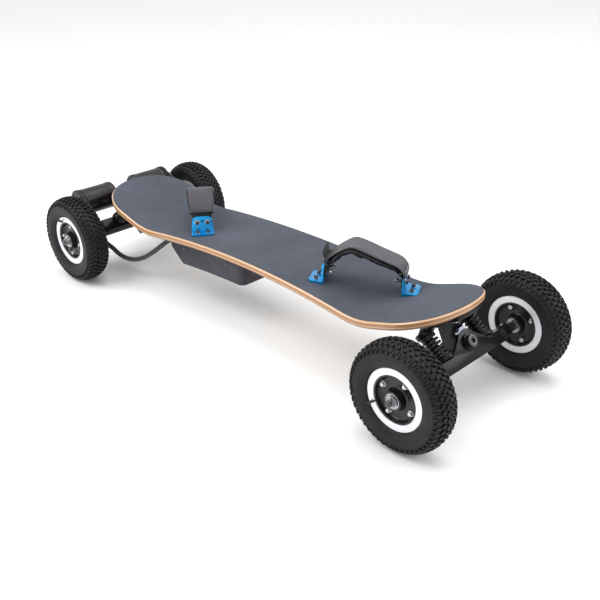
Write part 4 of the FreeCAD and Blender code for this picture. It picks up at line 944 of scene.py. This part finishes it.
def wheels():
    meshes = {}
    makers = {
        "tyre": (tyre_mesh, "tyre", "tyre", "tyre"),
        "hub": (lambda: Soup().add(hub_mesh()), "hub", "hub_black", "hub"),
        "rim_rings": (ring_mesh, "ring", "ring", "rim_rings"),
        "bearings": (bearing_mesh, "nut", "hardware", "bearings"),
        "valve": (valve_mesh, "trim", "tube", None),
    }
    for corner, (x, y) in CORNERS.items():
        body = f"{corner}_wheel"
        outward = shift(AXLE_X * MM * x, WHEEL_Y * MM * y, AXLE_Z * MM) @ spin(-90 * y, "X")
        turned = outward @ spin(-PHASES[corner] * y, "Z")
        places = {"hub": turned, "valve": outward @ spin(-VALVES[corner] * y, "Z")}
        for part, (maker, paint, slot, node) in makers.items():
            replaced = [f"{corner}_{node}"] if node else []
            name = f"{corner}_{part}_look"
            place = places.get(part, outward)
            if part in meshes:
                settle(name, meshes[part], body, paint, replaced, place)
            else:
                obj = maker().build(name, body, paint, slot, replaced, place)
                meshes[part] = obj.data
        bolts = bolts_mesh(0.3 * x + 0.2 * y)
        bolts.build(f"{corner}_bolts_look", body, "zinc", "hardware", [f"{corner}_hub_bolts"], turned)


wheels()

# ---------------------------------------------------------------- trucks

RAKE = radians(35)
HEAD_X, HEAD_Z = 11, 34


def in_truck(x, z):
    """Truck coordinates of a place given along and above the axle, towards the tip."""
    dx, dz = x - HEAD_X, z - HEAD_Z
    return dx * cos(RAKE) + dz * sin(RAKE), dz * cos(RAKE) - dx * sin(RAKE)


def truck_matrix(end):
    """Truck frame in mm to the row frame in mm."""
    facing = spin(0 if end > 0 else 180, "Z")
    return shift((AXLE_X + HEAD_X) * end, 0, AXLE_Z + HEAD_Z) @ facing @ Matrix.Rotation(-RAKE, 4, "Y")


def coil(start, axis, length, radius, wire, turns, closed=0.9):
    """Compression spring with closed ends, as a tube."""
    side = axis.orthogonal().normalized()
    other = axis.cross(side)
    steps = int(turns * 28)
    points = []
    for i in range(steps + 1):
        turn = i / steps * turns
        body = min(max((turn - closed) / (turns - 2 * closed), 0), 1)
        rise = wire + (length - 2 * wire) * body
        rise += (min(turn, closed) - closed) * wire * 0.1 + max(turn - turns + closed, 0) * wire * 0.1
        angle = 2 * pi * turn
        points.append(start + axis * rise + (side * cos(angle) + other * sin(angle)) * radius)
    return tube(points, wire, 12)


def trucks():
    axle_x, axle_z = in_truck(0, 0)
    lower = Vector((axle_x + 6.5, 0, axle_z + 18))
    upper = lower + Vector((-16, 0, 44))
    lean = (upper - lower).normalized()
    for name, end in ENDS.items():
        matrix = truck_matrix(end)
        softened(f"{name}_hanger", "truck", 0.9, 28, 3)
        softened(f"{name}_top_truck", "truck", 0.7, 28, 2)
        softened(f"{name}_kingpin", "oxide", 0.35, 40, 2)
        seat = Soup()
        outline = [(-13, 0), (13, 0), (13, 9), (7.5, 15), (-7.5, 15), (-13, 9)]
        levels = ((0.9, 0), (1, 1.2), (1, 7.8), (0.9, 9))
        rows = [[(x * k, y * k + 7 * (1 - k), z) for x, y in outline] for k, z in levels]
        seat.add(rings(rows), matrix @ shift(-17.4, 0, 14.5) @ spin(90, "Y") @ spin(90, "Z"))
        seat.build(f"{name}_seat_block", "deck", "seat", "truck_black", sharp=25)
        springs = Soup()
        for side in (1, -1):
            start = lower + lean * 0.4 + Vector((0, 57 * side, 0))
            springs.add(coil(start, lean, 46.0, 12.2, 2.6, 7.2), matrix)
            core = [(0.01, 3), (7.6, 3), (7.6, 21), (6.2, 23), (7.6, 25), (7.6, 43), (0.01, 43)]
            springs.add(lathe(eased(core, 0.8, 2, False), 32), matrix @ at(*start, lean))
        obj = springs.build(f"{name}_coils", None, "spring", "spring", [f"{name}_springs"])
        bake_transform(obj)
        axle = Soup()
        axis = matrix @ shift(axle_x, 0, axle_z)
        rod = eased([(0.01, -199), (6, -199), (6, 199), (0.01, 199)], 0.3, 2, False)
        axle.add(lathe(rod, 48), axis @ spin(-90, "X"))
        nuts = Soup()
        for side in (1, -1):
            place = axis @ spin(-90 * side, "X")
            axle.add(threaded(6, 198, 212, 1.25), place)
            axle.add(lathe(eased([(6.1, 128), (9, 128), (9, 150.6), (6.1, 150.6)], 0.4, 2), 40, True), place)
            face = place @ shift(0, 0, 199.3)
            nuts.add(lathe(eased([(6.05, 0), (10, 0), (10, 1.6), (6.05, 1.6)], 0.3, 2), 40, True), face)
            nuts.add(hex_nut(9, 5.2, 6.05, 1.6), face @ shift(0, 0, 1.7))
        axle.build(f"{name}_axle_look", f"{name}_hanger", "oxide", "steel", [f"{name}_axle"])
        nuts.build(f"{name}_nuts_look", f"{name}_hanger", "nut", "steel", [f"{name}_axle_nuts"])


trucks()

# ---------------------------------------------------------------- deck

DECK_TOP, DECK_THICK, BEVEL = 167.3, 14.0, 2.5
CAMBER, CAMBER_HALF, BEND, TIP = 2500.0, 280.0, 170.0, radians(18)
SINK = CAMBER_HALF / CAMBER
LEVEL = sqrt(1 - SINK * SINK)


def layer_height(x, depth):
    """Height of the layer at a depth under the deck's top face."""
    x = abs(x)
    if x <= (CAMBER - depth) * SINK:
        return DECK_TOP - CAMBER + sqrt((CAMBER - depth) ** 2 - x * x)
    centre_x = CAMBER_HALF + BEND * SINK
    centre_z = DECK_TOP - CAMBER * (1 - LEVEL) + BEND * LEVEL
    reach = BEND + depth
    end_x, end_z = centre_x + reach * sin(TIP), centre_z - reach * cos(TIP)
    if x <= end_x:
        return centre_z - sqrt(reach * reach - (x - centre_x) ** 2)
    return end_z + (x - end_x) * tan(TIP)


def arc(start, middle, end, count):
    """Points of the circle through three places, from the first to the last."""
    (ax, ay), (bx, by), (cx, cy) = start, middle, end
    d = 2 * (ax * (by - cy) + bx * (cy - ay) + cx * (ay - by))
    a, b, c = ax**2 + ay**2, bx**2 + by**2, cx**2 + cy**2
    ux = (a * (by - cy) + b * (cy - ay) + c * (ay - by)) / d
    uy = (a * (cx - bx) + b * (ax - cx) + c * (bx - ax)) / d
    first, last = atan2(ay - uy, ax - ux), atan2(cy - uy, cx - ux)
    sweep = (last - first + pi) % (2 * pi) - pi
    radius = hypot(ax - ux, ay - uy)
    angles = [first + sweep * i / count for i in range(count + 1)]
    return [(ux + radius * cos(angle), uy + radius * sin(angle)) for angle in angles]


def half_outline(inset):
    """Left edge of the deck in plan, from the front nose to the rear nose."""
    corner, nose, shoulder, length = 88.0, 155.0, 107.5, 488.0
    across = shoulder - corner
    nose_x = length - nose
    reach = nose - corner
    centre_x = nose_x + sqrt(reach * reach - across * across)
    ux, uy = (centre_x - nose_x) / reach, across / reach
    mean = sqrt((1 + uy) / 2)
    lean = ux / (mean * 2)
    small, large = corner - inset, nose - inset
    join = (nose_x + large * ux, large * uy)
    middle = (centre_x + small * lean, across + small * mean)
    side = (centre_x, shoulder - inset)
    angle = atan2(join[1], join[0] - nose_x) / 2
    near_tip = (nose_x + large * cos(angle), large * sin(angle))
    tip = arc((length - inset, 0.0), near_tip, join, 16)[:-1] + arc(join, middle, side, 24)
    waist = arc(side, (0, 97.5 - inset), (-side[0], side[1]), 120)
    return tip[:-1] + waist[:-1] + [(-x, y) for x, y in tip[::-1]]


def deck():
    """Plywood board: bevelled edge in ply bands with its depth as UV, veneer top and bottom."""
    levels = [(BEVEL, 0.0), (BEVEL / 2, BEVEL / 2), (0.0, BEVEL)]
    for ply in range(1, 5):
        depth = BEVEL + ply * 2.0 - 0.3
        levels += [(0.0, depth - 0.35), (0.16, depth - 0.1), (0.16, depth + 0.1), (0.0, depth + 0.35)]
    levels += [(0.0, DECK_THICK - BEVEL), (BEVEL / 2, DECK_THICK - BEVEL / 2), (BEVEL, DECK_THICK)]
    loops = []
    for inset, depth in levels:
        left = half_outline(inset)
        loop = left + [(x, -y) for x, y in left[-2:0:-1]]
        loops.append([(x, y, layer_height(x, depth)) for x, y in loop])
    count, station = len(loops[0]), len(half_outline(0))
    distance = [0.0]
    for a, b in zip(loops[2], loops[2][1:] + loops[2][:1]):
        distance.append(distance[-1] + (Vector(b) - Vector(a)).length)
    vertices = [point for loop in loops for point in loop]
    faces, uvs = [], []
    for row in range(len(loops) - 1):
        for c in range(count):
            d = (c + 1) % count
            faces.append([row * count + c, row * count + d, (row + 1) * count + d, (row + 1) * count + c])
            high, low = levels[row][1] * MM, levels[row + 1][1] * MM
            u, v = distance[c] * MM, distance[c + 1] * MM
            uvs.append([(u, high), (v, high), (v, low), (u, low)])
    soup = Soup().add((vertices, faces, uvs))
    for loop in (loops[0], loops[-1]):
        strips = [[i, i + 1, (count - i - 1) % count, (count - i) % count] for i in range(station - 1)]
        soup.add((loop, [list(dict.fromkeys(strip)) for strip in strips]), slot=1)
    soup.build("deck_board", "deck", ["edge", "veneer"], "deck_wood", ["deck"], sharp=25)


deck()

# ---------------------------------------------------------------- box, motors, drive


for node, paint, slot, width, segments in (
    ("battery_box", "box", "box_plastic", 1.0, 3), ("power_button", "button", "button", 0.6, 3),
    ("charge_socket", "socket", "socket", 0.4, 2), ("box_screws", "oxide", "steel", 0.3, 2),
    ("truck_bolts", "zinc", "hardware", 0.5, 2), ("motor_controller", "ring", "ring", 0.4, 2),
    ("battery_pack", "wrap", "battery", 3.0, 3),
):
    softened(node, paint, width, 30, segments)

MOTOR_X, MOTOR_Z, MOTOR_Y = -543, 157, 117
# Half section of the case, as (radius, distance outboard to inboard), closed on itself.
MOTOR_CASE = (
    (4.1, 0.2), (30.0, 0.2), (31.4, 1.4), (31.4, 9.0), (30.5, 9.8), (30.5, 12.0), (30.9, 12.4), (30.9, 70.0),
    (30.5, 70.4), (30.5, 72.6), (31.5, 73.6), (31.5, 83.4), (29.0, 85.9), (10.0, 85.9), (9.0, 84.6),
    (4.1, 84.6), (4.1, 82.2), (19.4, 82.2), (19.4, 6.2), (4.1, 6.2),
)


def motors():
    for name, side in SIDES.items():
        matrix = shift(MOTOR_X, MOTOR_Y * side, MOTOR_Z) @ spin(90 * side, "X")
        soup = Soup().add(lathe(eased(MOTOR_CASE, 0.35, 2), 128, True), matrix)
        for index in range(6):
            angle = radians(60 * index + 15)
            spot = matrix @ shift(24 * cos(angle), 24 * sin(angle), 85.8)
            soup.add(socket_head(2.6, 1.6, 1.2), spot)
        for index in range(24):
            angle = 2 * pi * index / 24
            foot = Vector((31.2 * cos(angle), 31.2 * sin(angle), 75.5))
            head = foot + Vector((0, 0, 6))
            soup.add(tube([foot, foot.lerp(head, 0.5), head], 0.55, 8), matrix)
        gland = eased([(5.6, 0), (8.6, 0), (8.6, 6), (7.6, 7), (5.6, 7)], 0.4, 2)
        down = shift(MOTOR_X, 100 * side, 129.4) @ spin(180, "X")
        soup.add(lathe(gland, 40, True), down)
        soup.build(f"{name}_motor_case", "rear_hanger", "motor", "motor_black", [f"{name}_motor"])
        softened(f"{name}_motor_rotor", "steel", 0.2, 35, 2)
        softened(f"{name}_motor_mount", "truck", 0.7, 30, 3)
        softened(f"{name}_wheel_pulley", "pulley", 0.25, 35, 2)


BELT_PITCH, PULLEY_TEETH, BELT_Y, BELT_WIDTH = 5, (62, 15), 135.5, 12


def drive_loop():
    """Pitch line of a belt round both pulleys, as (point, outward) pairs a fifth of a tooth apart."""
    wheel, motor = Vector((-AXLE_X, AXLE_Z)), Vector((MOTOR_X, MOTOR_Z))
    large, small = (BELT_PITCH * teeth / (2 * pi) - 0.3 for teeth in PULLEY_TEETH)
    between = motor - wheel
    bearing = atan2(between.y, between.x)
    lean = acos((large - small) / between.length)
    line = [(wheel, large, bearing + lean + (2 * pi - 2 * lean) * i / 180) for i in range(181)]
    line += [(motor, small, bearing - lean + 2 * lean * i / 60) for i in range(61)]
    outs = [Vector((cos(angle), sin(angle))) for _, _, angle in line]
    points = [(centre + out * radius, out) for (centre, radius, _), out in zip(line, outs)]
    lengths = [0.0]
    for (a, _), (b, _) in zip(points, points[1:] + points[:1]):
        lengths.append(lengths[-1] + (b - a).length)
    count = round(lengths[-1] / BELT_PITCH) * 5
    result, index = [], 0
    for i in range(count):
        want = lengths[-1] * i / count
        while lengths[index + 1] < want:
            index += 1
        t = (want - lengths[index]) / max(lengths[index + 1] - lengths[index], 1e-9)
        after = points[(index + 1) % len(points)]
        result.append((points[index][0].lerp(after[0], t), points[index][1].lerp(after[1], t).normalized()))
    return result


def belts():
    """Belts with a plain inner face that clears the pulleys' teeth."""
    line = drive_loop()
    for name, side in SIDES.items():
        near, far = (BELT_Y * side + half for half in (-BELT_WIDTH / 2, BELT_WIDTH / 2))
        rows = []
        for index, (point, out) in enumerate(line):
            inner, outer = point + out * (0.33 if index % 5 > 1 else 0.35), point + out * 2.1
            corners = ((inner, near), (inner, far), (outer, far), (outer, near))
            rows.append([(place.x, y, place.y) for place, y in corners])
        rows.append(rows[0])
        belt = Soup().add(rings(rows, False))
        belt.build(f"{name}_belt_loop", "rear_hanger", "belt", "belt", [f"{name}_belt"], sharp=40)


motors()
belts()

# ---------------------------------------------------------------- bindings

# Each end's strap: turn from the board's length, and the place of its middle along the board.
STRAP_TURN = {1: radians(29), -1: radians(38)}
STRAP_MIDDLE = {1: 247.0, -1: -237.0}
# The strap's line in its own plane, from the near foot to the far one.
SPAN = (
    (-73.4, -10.0), (-73.4, 3.0), (-71.6, 14.0), (-65.0, 25.0), (-54.0, 35.5), (-40.0, 46.0), (-27.0, 53.6),
    (-18.0, 54.0), (-2.0, 49.6), (20.0, 42.0), (43.0, 34.4), (60.0, 28.6), (68.5, 22.0), (72.6, 12.0),
    (73.4, 2.0), (73.4, -10.0),
)

TONGUES = {
    "front": ((-46, 46), (-58, 38.5), (-68, 31), (-73.5, 29), (-76.5, 34), (-77, 42), (-75.5, 51)),
    "rear": ((52, 36.5), (62, 33), (69, 28.5), (74, 24), (79, 22), (84, 25)),
}


def grip_height(x):
    return layer_height(x, 0) + 0.8


def strap_matrix(end):
    """A binding's frame in mm: X along the span, Z up, the origin between the bolts."""
    turn_angle, middle = STRAP_TURN[end], STRAP_MIDDLE[end]
    facing = turn_angle if end > 0 else pi - turn_angle
    near = grip_height(abs(middle) - 75 * cos(turn_angle))
    far = grip_height(abs(middle) + 105 * cos(turn_angle))
    lean = atan2(far - near, 150)
    turn = Matrix.Rotation(facing, 4, "Z") @ Matrix.Rotation(-lean, 4, "Y")
    return shift(middle, 4, (near + far) / 2 + 23) @ turn


def flowing(points, steps=10):
    """Smooth line through points (Catmull-Rom)."""
    line = []
    ends = [points[0], *points, points[-1]]
    for a, b, c, d in zip(ends, ends[1:], ends[2:], ends[3:]):
        for i in range(steps):
            t = i / steps
            square, cube = a - 2.5 * b + 2 * c - 0.5 * d, 1.5 * (b - c) + 0.5 * (d - a)
            line.append(b + (c - a) * 0.5 * t + square * t * t + cube * t**3)
    return line + [points[-1]]


def outward(line):
    """Direction square to a path in the strap's plane, at each of its points."""
    steps = [heading(line, index) for index in range(len(line))]
    return [Vector((-step.z, 0, step.x)) for step in steps]


def span(lift):
    """The strap's line moved outward, from the near foot to the far one."""
    line = flowing([Vector((x, 0, z)) for x, z in SPAN])
    return [point + out * lift for point, out in zip(line, outward(line))]


def stretch(points, start, end, count):
    """Evenly spaced part of a path, with the outward direction at each point."""
    line = [along(points, start + (end - start) * i / (count - 1)) for i in range(count)]
    return line, outward(line)


def ribbon(line, outs, widths, thickness, wave=0.0):
    """Flat webbing along a line: rounded edges, UV in metres along and across."""
    rows = []
    for index, (point, out) in enumerate(zip(line, outs)):
        width = widths[index] if isinstance(widths, list) else widths
        half, deep = width / 2, thickness / 2
        flat = [-half + 0.6 + (width - 1.2) * i / 8 for i in range(9)]
        section = [(x, deep) for x in flat]
        section += [(half - 0.15, deep * 0.7), (half, 0), (half - 0.15, -deep * 0.7)]
        section += [(x, -deep) for x in flat[::-1]]
        section += [(0.15 - half, -deep * 0.7), (-half, 0), (0.15 - half, deep * 0.7)]
        row = []
        for across, lift in section:
            ripple = wave * noise.noise(Vector((point.x * 0.045, across * 0.05, point.z * 0.045 + 7)))
            curl = noise.noise(Vector((index * 0.11, across * 0.02, 3)))
            edge = wave * 0.5 * (abs(across) / half) ** 4 * curl
            row.append(point + out * (lift + ripple + edge) + Y * across)
        rows.append(row)
    vertices, faces, _ = rings(rows)
    size = len(rows[0])
    lengths = [0.0]
    for a, b in zip(line, line[1:]):
        lengths.append(lengths[-1] + (b - a).length)
    return vertices, faces, [[(lengths[i // size] * MM, vertices[i].y * MM) for i in face] for face in faces]


def stitches(line, outs, offset, lift, pitch=3.4, length=2.3):
    """A row of thread stitches beside a ribbon's middle line."""
    soup = Soup()
    total = sum((b - a).length for a, b in zip(line, line[1:]))
    for index in range(int(total / pitch)):
        share = (index * pitch + pitch / 2) / total
        middle = along(line, share)
        ahead = along(line, min(share + length / 2 / total, 1.0))
        behind = along(line, max(share - length / 2 / total, 0.0))
        out = outs[min(int(share * (len(outs) - 1) + 0.5), len(outs) - 1)]
        wide = offset[int(share * (len(offset) - 1))] if isinstance(offset, list) else offset
        move = Y * wide + out * lift
        ends = [place + move - out * 0.25 for place in (behind, ahead)]
        soup.add(tube([ends[0], middle + move, ends[1]], [0.16, 0.34, 0.16], 6))
    return soup


def inflate(obj, voxel, pressure, cap, frames=20, pinned=None):
    """Cloth run under inner pressure on a remeshed copy; points move at most cap metres."""
    remesh = obj.modifiers.new("remesh", "REMESH")
    remesh.mode, remesh.voxel_size = "VOXEL", voxel
    dg = bpy.context.evaluated_depsgraph_get()
    obj.data = bpy.data.meshes.new_from_object(obj.evaluated_get(dg))
    obj.modifiers.clear()
    rest = [v.co.copy() for v in obj.data.vertices]
    if pinned:
        group = obj.vertex_groups.new(name="pin")
        for index, place in enumerate(rest):
            weight = pinned(place)
            if weight > 0:
                group.add([index], weight, "REPLACE")
    cloth = obj.modifiers.new("cloth", "CLOTH")
    cloth.settings.quality = 6
    cloth.settings.mass = 0.25
    cloth.settings.tension_stiffness = cloth.settings.compression_stiffness = 18
    cloth.settings.shear_stiffness = 8
    cloth.settings.bending_stiffness = 0.4
    cloth.settings.use_pressure = True
    cloth.settings.uniform_pressure_force = pressure
    cloth.settings.shrink_min = -0.06
    cloth.settings.effector_weights.gravity = 0
    if pinned:
        cloth.settings.vertex_group_mass = "pin"
    cloth.point_cache.frame_end = frames
    for number in range(1, frames + 1):
        bpy.context.scene.frame_set(number)
    dg = bpy.context.evaluated_depsgraph_get()
    swollen = bpy.data.meshes.new_from_object(obj.evaluated_get(dg))
    obj.modifiers.clear()
    for vertex, start in zip(swollen.vertices, rest):
        shift = vertex.co - start
        if shift.length > cap:
            vertex.co = start + shift.normalized() * cap
    obj.data = swollen
    bpy.context.scene.frame_set(1)


def press_flat(obj, matrix, limit):
    """Keeps a swollen pad under the cover: no point stands more than limit mm above the strap's line."""
    line, outs = stretch(span(0.0), 0, 1, 240)
    back = matrix.inverted()
    for vertex in obj.data.vertices:
        local = back @ (vertex.co / MM)
        nearest = min(range(240), key=lambda i: (line[i].x - local.x) ** 2 + (line[i].z - local.z) ** 2)
        out = outs[nearest]
        lift = (local - line[nearest]).dot(out)
        if lift > limit:
            vertex.co = matrix @ (local - out * (lift - limit)) * MM


def pad(name, end):
    """Padded band under the strap: swept closed form, swollen as cloth, then smoothed."""
    matrix = strap_matrix(end)
    line, outs = stretch(span(0.6), 0.105, 0.9, 60)
    rows = []
    for index, (point, out) in enumerate(zip(line, outs)):
        share = index / 59
        swell = sin(pi * share) ** 0.35 if 0 < share < 1 else 0.0
        half = 20.5 + 10.0 * sin(pi * share) ** 0.4 if 0 < share < 1 else 20.5
        thick = 1.2 + (3.4 + 0.9 * noise.noise(Vector((index * 0.16, 0, 5.0 * end)))) * swell
        row = []
        for i in range(28):
            angle = 2 * pi * i / 28
            c, s = cos(angle), sin(angle)
            across = half * copysign(abs(c) ** 0.62, c)
            lift = thick * abs(s) ** 0.8 * (0.75 if s > 0 else -2.1)
            row.append(matrix @ (point + Y * across + out * (lift - 1.2)))
        rows.append(row)
    obj = Soup().add(rings(rows)).build(f"{name}_pad", None, "vinyl", "strap", sharp=180)
    back = matrix.inverted()

    def held(place):
        local = back @ (place / MM)
        return 1.0 if local.z < 14 or abs(local.y) < 1.2 else 0.0

    inflate(obj, 0.0032, 2.2, 0.003, 18, held)
    press_flat(obj, matrix, 2.6)
    obj.data.materials.clear()
    obj.data.materials.append(PAINTS["vinyl"])
    subdivide = obj.modifiers.new("smooth", "SUBSURF")
    subdivide.levels = subdivide.render_levels = 1
    obj.data.shade_smooth()
    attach(obj, "deck")
    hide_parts(f"{name}_strap")
    return obj


def strap(name, end):
    """Padding, webbing, cover, piping, flap, tongue, loop and stitching of one foot strap."""
    matrix = strap_matrix(end)
    pad(name, end)

    web = Soup()
    for start, stop in ((0.0, 0.16), (0.85, 1.0)):
        web.add(ribbon(*stretch(span(0.2), start, stop, 30), 41, 2.0), matrix)
    web.build(f"{name}_webbing", "deck", "webbing", "strap")

    cover = Soup()
    line, outs = stretch(span(5.4), 0.150, 0.872, 90)
    widths = [47 + 6 * min(index / 18, 1.0) - 1.5 * max(0.0, index / 89 - 0.8) / 0.2 for index in range(90)]
    cover.add(ribbon(line, outs, widths, 1.7, 1.5), matrix)
    hem = flowing([line[-1] + Vector((x, 0, z)) for x, z in ((0, 0), (2.6, -4), (2.2, -15))])
    cover.add(ribbon(*stretch(hem, 0, 1, 14), [widths[-1] - 0.5 * i for i in range(14)], 2.2, 0.5), matrix)
    cover.build(f"{name}_cover", "deck", "cover", "strap", sharp=50)

    seams, piping = Soup(), Soup()
    for sign in (1, -1):
        offsets = [sign * (w / 2 - 3.2) for w in widths]
        seams.add(transformed(stitches(line, outs, offsets, 1.05), matrix))
        edge = [p + Y * (sign * (w / 2 + 0.3)) - o * 0.5 for p, o, w in zip(line, outs, widths)]
        piping.add(tube(edge, 1.25, 10), matrix)
    for share in (0.03, 0.95):
        row = line[int(share * 89)]
        out = outs[int(share * 89)]
        across = [row + Y * (y - 22.5) for y in range(0, 46)]
        seams.add(transformed(stitches(across, [out] * 46, 0.0, 1.2), matrix))
    seams.build(f"{name}_stitching", "deck", "thread", "strap")
    piping.build(f"{name}_piping", "deck", "vinyl", "strap", sharp=80)

    path = flowing([Vector((x, 0, z)) for x, z in TONGUES[name]], 6)
    wide = [38 - 20 * max(0.0, (i - 27) / 8) ** 2 for i in range(36)]
    tongue = Soup().add(ribbon(*stretch(path, 0, 1, 36), wide, 2.0, 0.8), matrix)
    tongue.build(f"{name}_tongue", "deck", "hooks", "strap", sharp=50)

    loop = Soup()
    for share in (0.135, 0.865):
        centre, outs = stretch(span(1.2), share, share + 0.01, 2)
        ring = []
        for i in range(49):
            c, s = cos(2 * pi * i / 48), sin(2 * pi * i / 48)
            across, high = 24.5 * copysign(abs(c) ** 0.4, c), 6.6 * copysign(abs(s) ** 0.6, s)
            ring.append(centre[0] + Y * across + outs[0] * high)
        loop.add(tube(ring, 1.9, 12), matrix)
    loop.build(f"{name}_loops", "deck", "trim", "strap", sharp=60)


def transformed(soup, matrix):
    return [matrix @ Vector(v) for v in soup.vertices], soup.faces, soup.uvs


def bindings():
    softened("binding_brackets", "blue", 0.7, 30, 3)
    bolts, nuts = Soup(), Soup()
    shank = [(0.001, -15), (2.45, -15), (2.45, 5.0), (2.0, 5.4), (0.001, 5.4)]
    washer = eased([(2.7, 0), (5.6, 0), (5.6, 1.0), (2.7, 1.0)], 0.25, 2)
    for end in (1, -1):
        for facing in (1, -1):
            place = strap_matrix(end) @ shift(75 * facing, 0, -23) @ spin(0 if facing > 0 else 180, "Z")
            for across in (-11, 11):
                foot, ear = place @ at(17, across, 4.05), place @ at(4.05, across, 23, X)
                for spot, head in ((foot, (4.2, 3.6, 2.0)), (ear, (4.4, 3.8, 2.1))):
                    nuts.add(lathe(washer, 32, True), spot)
                    bolts.add(socket_head(*head), spot @ shift(0, 0, 1.05))
                inner = place @ at(-10.4, across, 23, -X)
                nuts.add(hex_nut(4.6, 3.4, 2.5, 0.8), inner)
                bolts.add(lathe(shank, 24), inner)
    bolts.build("binding_bolt_heads", "deck", "oxide", "hardware", ["binding_screws"])
    nuts.build("binding_washers", "deck", "zinc", "hardware")
    for name, end in ENDS.items():
        strap(name, end)


bindings()

for node, paint in (("grip_tape", "grip"), *[(f"{corner}_inner_tube", "tube") for corner in CORNERS]):
    mesh = frame["nodes"][node].data
    mesh.materials.clear()
    mesh.materials.append(PAINTS[paint])
